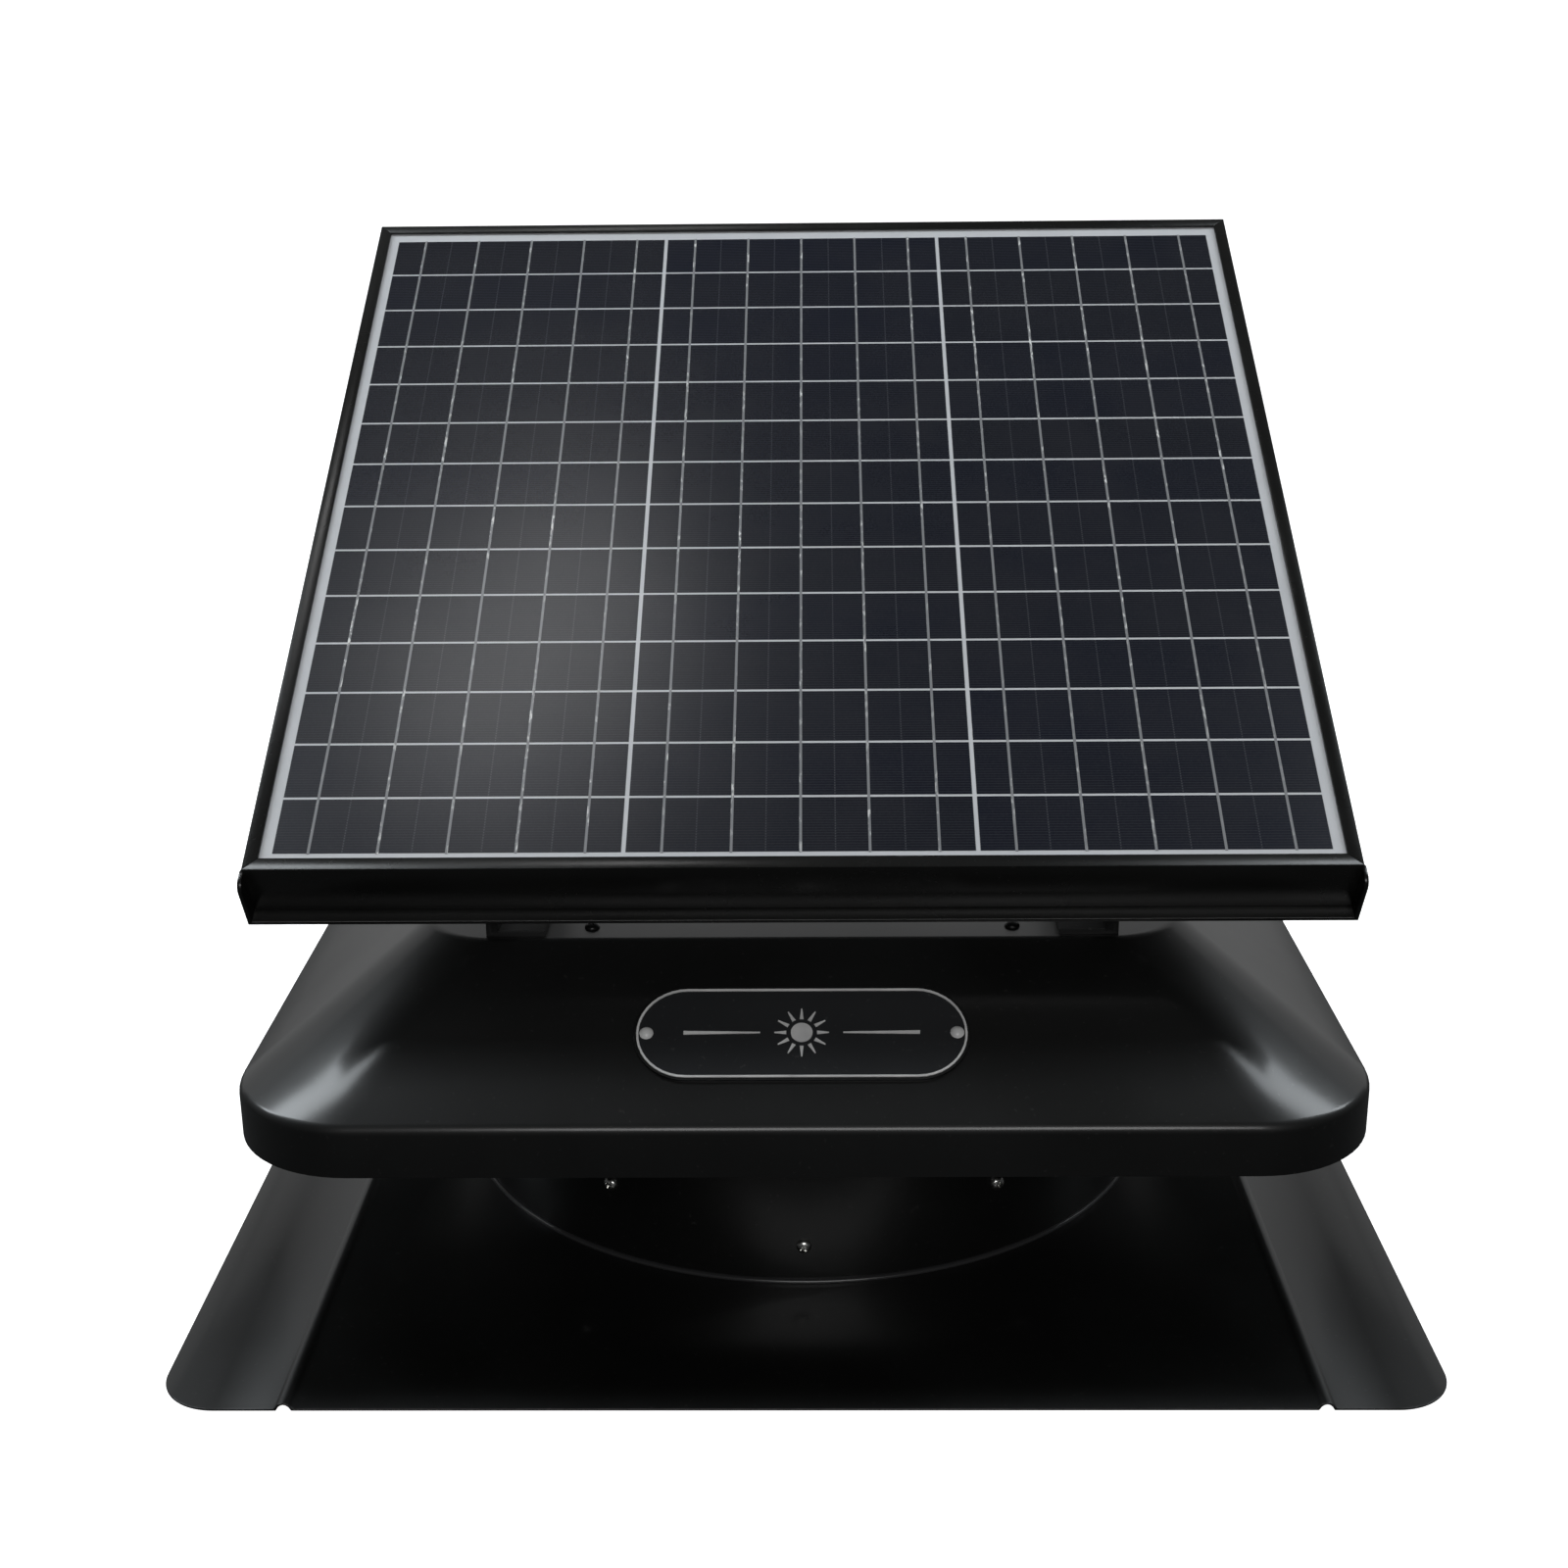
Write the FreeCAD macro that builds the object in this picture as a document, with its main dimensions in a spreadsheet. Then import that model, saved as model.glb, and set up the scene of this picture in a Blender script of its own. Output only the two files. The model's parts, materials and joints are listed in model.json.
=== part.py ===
import FreeCAD, Part
import math
import os
import re

import Sketcher

# Solar attic fan: a square hood over a round throat on a roof flashing, with a fan
# inside and a tilting solar panel on top. Millimetres, +Z up, the origin on the
# throat's axis at the underside of the flashing, the hood's nameplate facing -Y.

doc = FreeCAD.newDocument("SolarAtticFan")
sheet = doc.addObject("Spreadsheet::Sheet", "Sizes")

SIZES = {
    # roof flashing
    "flashing_side": 588.0, "flashing_thick": 1.0, "flashing_corner": 28.0,
    "rib_inset": 60.0, "rib_wide": 9.0, "rib_high": 3.0, "rib_bevel": 1.5,
    # round throat and the sealant bead at its foot
    "throat_radius": 188.0, "throat_tall": 106.0, "throat_wall": 1.0, "throat_lip": 2.5,
    "bead_size": 2.6, "bead_swell": 0.7,
    # hood: a skirt, four slopes and a flat top a little smaller than the throat
    "hood_side": 528.0, "flat_inset": 7.0, "hood_rim": 101.0, "hood_skirt": 24.0,
    "hood_rise": 57.0, "hood_wall": 1.2, "hood_corner": 60.0, "hood_flat_corner": 34.0,
    "hood_round": 6.0, "slope_thin": 0.5,
    # four legs that carry the hood inside the throat
    "leg_angle": 31.0, "leg_wide": 20.0, "leg_thick": 2.0, "leg_foot": 26.0,
    "leg_flange": 16.0, "leg_screw_z": 41.0,
    # round bird screen between the throat and the hood
    "screen_inset": 12.0, "screen_wall": 1.0, "screen_slots": 36.0, "screen_slot": 24.0,
    "screen_band": 6.0, "screen_gap": 0.2,
    # motor bracket and thermostat
    "arm_wide": 22.0, "arm_thick": 2.5, "arm_screw_down": 9.0, "arm_tab": 18.0,
    "bracket_disc": 47.0, "stat_x": 105.0, "stat_radius": 8.0, "stat_tall": 11.0,
    "stat_long": 24.0, "stat_wide": 12.0, "stat_base": 1.0, "tab_wide": 4.8,
    "tab_thick": 0.8, "tab_tall": 7.0, "tab_apart": 4.0,
    # motor
    "motor_radius": 42.0, "motor_tall": 38.0, "motor_wall": 1.5, "motor_floor": 2.0,
    "cap_thick": 3.0, "shaft_radius": 4.0, "shaft_clear": 0.03, "shaft_hole": 7.0,
    "shaft_foot": 1.0, "shaft_over": 4.0, "bearing_radius": 11.0, "bearing_tall": 7.0,
    "bearing_seat": 2.0, "magnet_radius": 17.0, "magnet_tall": 16.0, "air_gap": 1.0,
    "stator_up": 20.0, "stator_tall": 14.0, "stator_slots": 6.0, "slot_circle": 28.0,
    "slot_radius": 5.0, "coil_gap": 0.2, "coil_over": 2.0, "board_thick": 1.6,
    "board_gap": 0.5, "board_up": 1.5, "motor_screw_circle": 30.0,
    # fan wheel
    "hub_radius": 14.0, "hub_tall": 18.0, "hub_gap": 4.0, "hub_drop": 31.0,
    "set_screw_r": 2.0, "set_screw_down": 4.0, "spider_up": 3.0, "spider_disc": 34.0,
    "spider_thick": 2.0, "spider_reach": 96.0, "spider_arm": 24.0, "spider_lap": 8.0,
    "arm_rise": 3.6, "blade_count": 5.0, "blade_root": 58.0, "tip_gap": 9.5,
    "blade_root_chord": 62.0, "blade_tip_chord": 96.0, "blade_thick": 1.6,
    "blade_root_pitch": 27.0, "blade_tip_pitch": 20.0, "blade_camber": 0.07,
    "blade_up": 2.5, "blade_rivet_r": 2.4, "blade_rivet_head": 4.2, "rivet_flat": 1.2,
    "rivet_end": 9.0, "rivet_clear": 0.3,
    # solar panel: cells and borders set its size
    "cell_wide": 156.75, "cell_strip": 31.35, "cell_columns": 3.0, "cell_rows": 14.0,
    "column_gap": 3.2, "row_gap": 2.0, "border_side": 6.0, "border_front": 4.0,
    "border_rear": 7.5, "frame_lip": 6.7, "lip_thick": 1.2, "frame_tall": 30.0,
    "frame_wall": 1.5, "frame_flange": 25.0, "glass_thick": 3.2, "cell_thick": 0.4,
    "sheet_thick": 0.5, "corner_screw_in": 17.0, "corner_screw_low": 8.0,
    "corner_screw_high": 20.5, "panel_tilt": 31.0, "panel_front_y": -205.1,
    "panel_front_z": 206.8,
    # folded channel along the panel's front edge
    "channel_reach": 7.0, "channel_thick": 2.0, "ear_tall": 26.0, "ear_back": 6.0,
    # panel supports
    "rail_offset": 146.5, "rail_thick": 3.0, "rail_tall": 25.0, "rail_flange": 25.0,
    "rail_long": 356.0, "post_wide": 25.0, "post_over": 10.0, "post_bolt": 7.0,
    "post_bolt_down": 8.0, "pin_radius": 3.0, "pin_clear": 0.05, "nut_gap": 0.3,
    "bush_radius": 6.0, "side_gap": 0.5, "pivot_in": 35.0, "pivot_down": 12.0,
    "foot_y": 165.0, "foot_up": 18.0, "lug_thick": 3.0, "lug_wide": 26.0, "lug_tall": 24.0,
    "lug_foot": 4.0, "lug_screw_v": 14.0, "lug_screw_out": 17.0, "lug_tab": 20.0,
    "tube_side": 16.0, "tube_wall": 1.5, "slide_gap": 0.3, "tube_long": 140.0,
    "bar_long": 140.0, "slot_play": 0.7, "slot_clear": 0.1, "crossrail_tall": 28.0,
    "crossrail_flange": 22.0, "crossrail_gap": 12.0, "crossrail_in": 4.0,
    "crossrail_screw": 14.0, "knob_back": 15.0, "knob_radius": 8.0, "knob_long": 9.0,
    "knob_wing": 12.0, "wing_thick": 4.4, "wing_in": 1.5, "knob_screw_r": 2.5,
    # fasteners and small parts
    "screw_radius": 2.1, "screw_head": 3.7, "screw_head_tall": 2.2, "screw_tail": 2.0,
    "bolt_radius": 2.5, "bolt_head": 4.6, "bolt_head_tall": 3.5, "head_taper": 0.7,
    "hex_head": 5.8, "hex_tall": 4.0, "drill_over": 9.0,
    "plate_long": 154.0, "plate_high": 49.0, "plate_thick": 1.8, "plate_rim": 2.0,
    "plate_recess": 0.6, "plate_down": 1.5, "plate_rivet_x": 71.0, "plate_rivet_r": 3.2,
    "plate_rivet_tall": 1.4, "grommet_hole": 7.0, "grommet_bore": 4.0, "grommet_x": 60.0,
    "grommet_y": 60.0, "grommet_flange": 2.0, "grommet_collar": 2.5,
    "box_long": 92.0, "box_wide": 62.0, "box_tall": 20.0, "box_wall": 2.0, "box_back": 110.0,
    "lid_gap": 0.2, "lid_rim": 1.5, "gland_radius": 6.0, "gland_nut": 8.5, "gland_long": 9.0,
    "gland_bore": 3.2,
}

# Lengths worked out from the sheet, written in the sheet's own names.
DERIVED = {
    "rib_offset": "flashing_side/2-rib_inset",
    "throat_inner": "throat_radius-throat_wall",
    "hood_flat": "2*(throat_radius-flat_inset)",
    "hood_shoulder": "hood_rim+hood_skirt",
    "hood_top": "hood_shoulder+hood_rise",
    "hood_under": "hood_top-hood_wall",
    "hood_run": "(hood_side-hood_flat)/2",
    "hood_slope": "atan2(hood_rise; hood_run)/1deg",
    "plate_y": "-(hood_side+hood_flat)/4-plate_down",
    "leg_face": "sqrt(throat_inner^2-(leg_wide/2)^2)",
    "arm_face": "sqrt(throat_inner^2-(arm_wide/2)^2)",
    "screen_radius": "throat_radius-screen_inset",
    "hub_low": "throat_tall-hub_drop",
    "housing_top": "hub_low-hub_gap-cap_thick",
    "arm_top": "housing_top-motor_tall",
    "arm_screw_z": "arm_top-arm_screw_down",
    "stator_mid": "arm_top+stator_up",
    "spider_z": "hub_low+spider_up",
    "blade_z": "spider_z+blade_up",
    "blade_tip": "throat_inner-tip_gap",
    "panel_wide": "cells_wide+2*(border_side+frame_lip)",
    "panel_deep": "cells_deep+border_front+border_rear+2*frame_lip",
    "cells_wide": "cell_columns*cell_wide+(cell_columns-1)*column_gap",
    "cells_deep": "cell_rows*cell_strip+(cell_rows-1)*row_gap",
    "glass_top": "frame_tall-lip_thick",
    "glass_under": "glass_top-glass_thick",
    "sheet_top": "glass_under-cell_thick",
    "sheet_under": "sheet_top-sheet_thick",
    "rail_top": "hood_top+rail_tall",
    "rail_face": "rail_offset+rail_thick",
    "post_face": "rail_offset-rail_thick",
    "lug_face": "rail_face+side_gap",
    "pivot_y": "panel_front_y+pivot_in*cos(panel_tilt)+pivot_down*sin(panel_tilt)",
    "pivot_z": "panel_front_z+pivot_in*sin(panel_tilt)-pivot_down*cos(panel_tilt)",
    "foot_z": "hood_top+foot_up",
    "reach": "sqrt((foot_y-pivot_y)^2+(foot_z-pivot_z)^2)",
    "foot_fall": "atan2(foot_z-pivot_z; foot_y-pivot_y)/1deg",
    "opening": "panel_tilt-foot_fall",
    "leg_span": "2*reach*sin(opening/2)",
    "leg_lean": "foot_fall+opening/2",
    "joint_v": "pivot_in+reach",
    "bar_side": "tube_side-2*tube_wall-2*slide_gap",
    "crossrail_v": "joint_v+crossrail_gap",
    "outer_lug": "lug_face+tube_side+2*side_gap",
}

for row, (alias, number) in enumerate(SIZES.items(), start=1):
    sheet.set(f"A{row}", alias)
    sheet.set(f"B{row}", str(number))
    sheet.setAlias(f"B{row}", alias)
doc.recompute()

WORD = re.compile(r"[A-Za-z_][A-Za-z_0-9]*")
nodes = []


def bound(text):
    """An expression in the sheet's names, ready for setExpression."""
    def swap(match):
        word = match.group(0)
        if word in DERIVED:
            return "(" + bound(DERIVED[word]) + ")"
        return "Sizes." + word if word in SIZES else word
    return WORD.sub(swap, str(text))


def value(text):
    """The number that an expression gives now, in millimetres or degrees."""
    result = sheet.evalExpression(bound(text))
    return float(getattr(result, "Value", result))


def placement(x="0", y="0", z="0", axis=(0, 0, 1), angle="0"):
    turn = f"create(<<rotation>>; create(<<vector>>; {axis[0]}; {axis[1]}; {axis[2]}); {bound(angle)})"
    return f"create(<<placement>>; create(<<vector>>; {bound(x)}; {bound(y)}; {bound(z)}); {turn})"


PANEL = placement("0", "panel_front_y", "panel_front_z", (1, 0, 0), "panel_tilt")


def place(item, *steps):
    """Binds the Placement to the product of the given placement expressions."""
    item.setExpression("Placement", " * ".join(steps))
    return item


def node(item, name, *steps):
    """Makes an object the sub-part called name."""
    item.Label = name
    if steps:
        place(item, *steps)
    nodes.append(item)
    return item


# Primitives and booleans

def box(x, y, z):
    """A block between two x, two y and two z values."""
    item = doc.addObject("Part::Box", "Block")
    for size, (low, high) in zip(("Length", "Width", "Height"), (x, y, z)):
        item.setExpression(size, bound(f"({high})-({low})"))
    return place(item, placement(x[0], y[0], z[0]))


def rod(radius, low, high, x="0", y="0", z="0", along="z", top_radius=None):
    """A round bar from low to high along an axis; top_radius makes it a cone."""
    item = doc.addObject("Part::Cone" if top_radius else "Part::Cylinder", "Rod")
    if top_radius:
        item.setExpression("Radius1", bound(radius))
        item.setExpression("Radius2", bound(top_radius))
    else:
        item.setExpression("Radius", bound(radius))
    item.setExpression("Height", bound(f"({high})-({low})"))
    if along == "x":
        return place(item, placement(low, y, z, (0, 1, 0), "90"))
    if along == "y":
        return place(item, placement(x, low, z, (1, 0, 0), "-90"))
    return place(item, placement(x, y, low))


def hexagon(radius, low, high, x="0", y="0", z="0", along="z"):
    item = doc.addObject("Part::Prism", "Hex")
    item.Polygon = 6
    item.setExpression("Circumradius", bound(radius))
    item.setExpression("Height", bound(f"({high})-({low})"))
    if along == "x":
        return place(item, placement(low, y, z, (0, 1, 0), "90"))
    return place(item, placement(x, y, low))


def group(items):
    item = doc.addObject("Part::Compound", "Group")
    item.Links = list(items)
    return item


def fuse(*items):
    item = doc.addObject("Part::MultiFuse", "Joined")
    item.Shapes = list(items)
    item.Refine = True
    return item


def cut(base, *tools):
    item = doc.addObject("Part::Cut", "Drilled")
    item.Base = base
    item.Tool = tools[0] if len(tools) == 1 else group(tools)
    item.Refine = True
    return item


def tube(radius, bore, low, high, **where):
    through = (f"({low})-drill_over", f"({high})+drill_over")
    return cut(rod(radius, low, high, **where), rod(bore, *through, **where))


def turned(item, *steps):
    """The item moved as a whole, on top of its own place."""
    return place(group([item]), *steps)


def around(count):
    """The angles of evenly spaced copies about an axis."""
    return [f"{turn}*360/{count}" for turn in range(count)]


# Sketched bodies

def new_body(name):
    return doc.addObject("PartDesign::Body", name)


def sketch_on(body, role, rise=None):
    """A sketch on one of the body's own planes, raised along its normal."""
    plane = next(f for f in body.Origin.OriginFeatures if f.Role == role)
    item = body.newObject("Sketcher::SketchObject", "Sketch")
    item.AttachmentSupport = [(plane, "")]
    item.MapMode = "FlatFace"
    if rise:
        item.setExpression("AttachmentOffset", placement("0", "0", rise))
    return item


def pin_point(sketch, edge, end, x, y):
    """Holds one end of an edge at bound distances from the sketch's origin."""
    for kind, text in (("DistanceX", x), ("DistanceY", y)):
        rule = Sketcher.Constraint(kind, -1, 1, edge, end, value(text))
        number = sketch.addConstraint(rule)
        sketch.setExpression(f"Constraints[{number}]", bound(text))


def outline(sketch, corners):
    """A closed run of straight edges through corners given as expressions."""
    spots = [FreeCAD.Vector(value(x), value(y), 0) for x, y in corners]
    first = sketch.GeometryCount
    count = len(corners)
    for i in range(count):
        sketch.addGeometry(Part.LineSegment(spots[i], spots[(i + 1) % count]), False)
    for i in range(count):
        rule = Sketcher.Constraint("Coincident", first + i, 2, first + (i + 1) % count, 1)
        sketch.addConstraint(rule)
        pin_point(sketch, first + i, 1, *corners[i])


def circle(sketch, radius, x="0", y="0"):
    centre = FreeCAD.Vector(value(x), value(y), 0)
    edge = sketch.addGeometry(Part.Circle(centre, FreeCAD.Vector(0, 0, 1), value(radius)), False)
    pin_point(sketch, edge, 3, x, y)
    number = sketch.addConstraint(Sketcher.Constraint("Radius", edge, value(radius)))
    sketch.setExpression(f"Constraints[{number}]", bound(radius))


def rounded_square(sketch, side, corner):
    """Four straight sides joined by four quarter arcs."""
    half, flat, bend = value(f"({side})/2"), value(f"({side})/2-({corner})"), value(corner)
    up = FreeCAD.Vector(0, 0, 1)
    signs = ((1, 1), (-1, 1), (-1, -1), (1, -1))
    for turn, (sx, sy) in enumerate(signs):
        ring = Part.Circle(FreeCAD.Vector(sx * flat, sy * flat, 0), up, bend)
        start = turn * math.pi / 2
        sketch.addGeometry(Part.ArcOfCircle(ring, start, start + math.pi / 2), False)
        number = sketch.addConstraint(Sketcher.Constraint("Radius", turn, bend))
        sketch.setExpression(f"Constraints[{number}]", bound(corner))
        far, near = f"({side})/2", f"({side})/2-({corner})"
        reach = (far, near) if turn % 2 == 0 else (near, far)
        pin_point(sketch, turn, 1, f"{sx}*({reach[0]})", f"{sy}*({reach[1]})")
        pin_point(sketch, turn, 2, f"{sx}*({reach[1]})", f"{sy}*({reach[0]})")
    ends = [(half, flat), (flat, half), (-flat, half), (-half, flat),
            (-half, -flat), (-flat, -half), (flat, -half), (half, -flat)]
    for turn in range(4):
        a = FreeCAD.Vector(*ends[2 * turn + 1], 0)
        b = FreeCAD.Vector(*ends[(2 * turn + 2) % 8], 0)
        side_edge = sketch.addGeometry(Part.LineSegment(a, b), False)
        sketch.addConstraint(Sketcher.Constraint("Coincident", side_edge, 1, turn, 2))
        sketch.addConstraint(Sketcher.Constraint("Coincident", side_edge, 2, (turn + 1) % 4, 1))


def pad(body, sketch, length, middle=False):
    item = body.newObject("PartDesign::Pad", "Pad")
    item.Profile = sketch
    item.setExpression("Length", bound(length))
    item.Midplane = middle
    return item


def pocket(body, sketch, length, middle=False):
    item = body.newObject("PartDesign::Pocket", "Pocket")
    item.Profile = sketch
    item.setExpression("Length", bound(length))
    item.Midplane = middle
    return item


def spin(body, sketch):
    item = body.newObject("PartDesign::Revolution", "Revolution")
    item.Profile = sketch
    item.ReferenceAxis = (sketch, ["V_Axis"])
    item.Angle = 360.0
    return item


def soften(body, base, radius, wanted):
    """A fillet on the edges of base for which wanted(edge) is true."""
    doc.recompute()
    edges = [f"Edge{i}" for i, edge in enumerate(base.Shape.Edges, start=1) if wanted(edge)]
    item = body.newObject("PartDesign::Fillet", "Fillet")
    item.Base = (base, edges)
    item.setExpression("Radius", bound(radius))
    return item


def is_upright(edge):
    low, high = edge.BoundBox.ZMin, edge.BoundBox.ZMax
    return high - low > 1e-3 and edge.BoundBox.DiagonalLength - (high - low) < 1e-3


def lies_at(height, tolerance=1e-3):
    return lambda edge: (abs(edge.BoundBox.ZMin - height) < tolerance
                         and abs(edge.BoundBox.ZMax - height) < tolerance)


# Fasteners

def round_screw(head, tall, shank, length, x="0", y="0", z="0"):
    """A tapered round head above its seat at z, and a shank below."""
    top = rod(head, z, f"({z})+({tall})", x=x, y=y, top_radius=f"head_taper*({head})")
    return fuse(top, rod(shank, f"({z})-({length})", z, x=x, y=y))


def cross_bolt(low, high, y, z, side):
    """A hexagon bolt and its nut, lying across the axle y, z on one side."""
    low, high = (low, high) if side > 0 else (f"-({high})", f"-({low})")
    head = hexagon("hex_head", f"({low})-hex_tall", low, y=y, z=z, along="x")
    nut = hexagon("hex_head", high, f"({high})+hex_tall", y=y, z=z, along="x")
    shank = rod("pin_radius", low, high, y=y, z=z, along="x")
    return fuse(head, shank, nut)


# Roof flashing, throat and sealant

def make_flashing():
    body = new_body("Flashing")
    plan = sketch_on(body, "XY_Plane")
    half = "flashing_side/2"
    outline(plan, [(f"-{half}", f"-{half}"), (half, f"-{half}"), (half, half), (f"-{half}", half)])
    circle(plan, "throat_radius")
    blank = pad(body, plan, "flashing_thick")
    soften(body, blank, "flashing_corner", is_upright)
    for side in (-1, 1):
        centre = f"{side}*rib_offset"
        ridge = sketch_on(body, "XZ_Plane")
        peak = "flashing_thick+rib_high"
        outline(ridge, [(f"{centre}-rib_wide/2", "0"), (f"{centre}+rib_wide/2", "0"),
                        (f"{centre}+rib_wide/2", "flashing_thick"),
                        (f"{centre}+rib_wide/2-rib_bevel", peak),
                        (f"{centre}-rib_wide/2+rib_bevel", peak),
                        (f"{centre}-rib_wide/2", "flashing_thick")])
        pad(body, ridge, "flashing_side", middle=True)
        hollow = sketch_on(body, "XZ_Plane")
        inner = "rib_wide/2-flashing_thick"
        outline(hollow, [(f"{centre}-({inner})", "0"), (f"{centre}+({inner})", "0"),
                         (f"{centre}+({inner})-rib_bevel", "rib_high"),
                         (f"{centre}-({inner})+rib_bevel", "rib_high")])
        pocket(body, hollow, "flashing_side+drill_over", middle=True)
    node(body, "base_flashing")


def arm_places():
    return [(angle, "arm_screw_z") for angle in around(4)]


def leg_places():
    return [(angle, "leg_screw_z") for angle in leg_angles()]


def make_throat():
    body = new_body("Throat")
    wall = sketch_on(body, "XZ_Plane")
    outline(wall, [("throat_inner", "0"), ("throat_radius", "0"),
                   ("throat_radius", "throat_tall-throat_wall"),
                   ("throat_radius+throat_lip", "throat_tall-throat_wall"),
                   ("throat_radius+throat_lip", "throat_tall"), ("throat_inner", "throat_tall")])
    spin(body, wall)
    holes, screws = [], []
    for angle, height in arm_places() + leg_places():
        drill = rod("screw_radius", "throat_inner-drill_over", "throat_radius+drill_over", along="x")
        holes.append(turned(drill, placement(z=height, angle=angle)))
        screw = round_screw("screw_head", "screw_head_tall", "screw_radius",
                            "throat_wall+leg_thick+screw_tail")
        screws.append(place(screw, placement(z=height, angle=angle),
                            placement("throat_radius", "0", "0", (0, 1, 0), "90")))
    node(cut(body, *holes), "throat")
    return screws


def make_bead():
    body = new_body("Bead")
    section = sketch_on(body, "XZ_Plane")
    swell = "bead_swell*bead_size"
    outline(section, [("throat_radius", "flashing_thick"),
                      ("throat_radius+bead_size", "flashing_thick"),
                      (f"throat_radius+{swell}", f"flashing_thick+{swell}"),
                      ("throat_radius", "flashing_thick+bead_size")])
    spin(body, section)
    node(body, "seal_bead")


# Hood, its legs, screen and nameplate

def hood_solid(name, side_cut, rise_cut, bend):
    """The hood's outline as a full block, each face moved in, with its creases rounded."""
    body = new_body(name)
    skirt = sketch_on(body, "XY_Plane", "hood_rim")
    rounded_square(skirt, f"hood_side-2*({side_cut})", f"hood_corner-({side_cut})")
    pad(body, skirt, f"hood_skirt-({rise_cut})")
    foot = sketch_on(body, "XY_Plane", f"hood_shoulder-({rise_cut})")
    rounded_square(foot, f"hood_side-2*({side_cut})", f"hood_corner-({side_cut})")
    flat = sketch_on(body, "XY_Plane", f"hood_top-({side_cut})")
    inset = f"({side_cut})-({rise_cut})*hood_run/hood_rise"
    rounded_square(flat, f"hood_flat-2*({inset})", f"hood_flat_corner-({side_cut})")
    slopes = body.newObject("PartDesign::AdditiveLoft", "Slopes")
    slopes.Profile = foot
    slopes.Sections = [flat]
    slopes.Ruled = True
    doc.recompute()
    creases = (value(f"hood_shoulder-({rise_cut})"), value(f"hood_top-({side_cut})"))
    soften(body, slopes, bend, lambda edge: any(lies_at(z)(edge) for z in creases))
    return body


def make_hood():
    outside = hood_solid("Hood", "0", "0", "hood_round")
    cavity = hood_solid("Cavity", "hood_wall", "slope_thin*hood_wall", "hood_round-hood_wall")
    through = ("hood_under-hood_round", "hood_top+hood_round")
    drills = [rod("grommet_hole", *through, x="grommet_x", y="grommet_y")]
    for side in (-1, 1):
        drills += [rod("bolt_radius", *through, x=x, y=y) for x, y in rail_bolt_places(side)]
    for angle in leg_angles():
        drill = rod("screw_radius", *through, x="leg_face+leg_flange/2")
        drills.append(turned(drill, placement(angle=angle)))
    node(cut(outside, cavity, *drills), "hood")


def leg_angles():
    return [f"{turn}+{sign}*leg_angle" for turn in (-90, 90) for sign in (-1, 1)]


def make_hood_legs():
    names = ("front_left", "front_right", "rear_right", "rear_left")
    screws = []
    for name, angle in zip(names, leg_angles()):
        half = "leg_wide/2"
        strap = box(("leg_face-leg_thick", "leg_face"), (f"-{half}", half), ("leg_foot", "hood_under"))
        flange = box(("leg_face", "leg_face+leg_flange"), (f"-{half}", half),
                     ("hood_under-leg_thick", "hood_under"))
        side_hole = rod("screw_radius", "leg_face-drill_over", "leg_face+drill_over",
                        z="leg_screw_z", along="x")
        top_hole = rod("screw_radius", "hood_under-drill_over", "hood_top", x="leg_face+leg_flange/2")
        leg = cut(fuse(strap, flange), side_hole, top_hole)
        node(leg, f"hood_leg_{name}", placement(angle=angle))
        screw = round_screw("screw_head", "screw_head_tall", "screw_radius",
                            "hood_wall+leg_thick+screw_tail", x="leg_face+leg_flange/2", z="hood_top")
        screws.append(place(screw, placement(angle=angle)))
    return screws


def make_screen():
    body = new_body("Screen")
    section = sketch_on(body, "XZ_Plane")
    foot = "throat_tall-2*screen_wall"
    inner, rim = "screen_radius-screen_wall", "leg_face-leg_thick-screen_gap"
    outline(section, [(inner, foot), (rim, foot), (rim, f"{foot}+screen_wall"),
                      ("screen_radius", f"{foot}+screen_wall"),
                      ("screen_radius", "hood_under"), (inner, "hood_under")])
    spin(body, section)
    doc.recompute()
    window = sketch_on(body, "XZ_Plane")
    low, high = f"{foot}+screen_wall+screen_band", "hood_under-screen_band"
    half = "screen_slot/2"
    outline(window, [(f"-{half}", low), (half, low), (half, high), (f"-{half}", high)])
    slot = pocket(body, window, "screen_radius+drill_over")
    doc.recompute()
    ring = body.newObject("PartDesign::PolarPattern", "Windows")
    ring.Originals = [slot]
    axis = next(f for f in body.Origin.OriginFeatures if f.Role == "Z_Axis")
    ring.Axis = (axis, [""])
    ring.Angle = 360.0
    ring.setExpression("Occurrences", bound("screen_slots"))
    body.Tip = ring
    node(body, "bird_screen")


def slope_place():
    """The middle of the nameplate's seat on the hood's front slope."""
    height = "hood_shoulder+(plate_y+hood_side/2)*hood_rise/hood_run"
    return placement("0", "plate_y", height, (1, 0, 0), "hood_slope")


def stadium(long, high, low, top):
    end = f"(({long})-({high}))/2"
    middle = box((f"-{end}", end), (f"-({high})/2", f"({high})/2"), (low, top))
    ends = [rod(f"({high})/2", low, top, x=f"{sign}{end}") for sign in ("-", "")]
    return fuse(middle, *ends)


def make_nameplate():
    plate = stadium("plate_long", "plate_high", "0", "plate_thick")
    face = stadium("plate_long-2*plate_rim", "plate_high-2*plate_rim",
                   "plate_thick-plate_recess", "plate_thick+plate_rim")
    seat = "plate_thick-plate_recess"
    node(cut(plate, face), "nameplate", slope_place())
    heads = [rod("plate_rivet_r", seat, f"{seat}+plate_rivet_tall", x=f"{sign}*plate_rivet_x",
                 top_radius="head_taper*plate_rivet_r") for sign in (-1, 1)]
    node(group(heads), "nameplate_rivets", slope_place())


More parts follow.
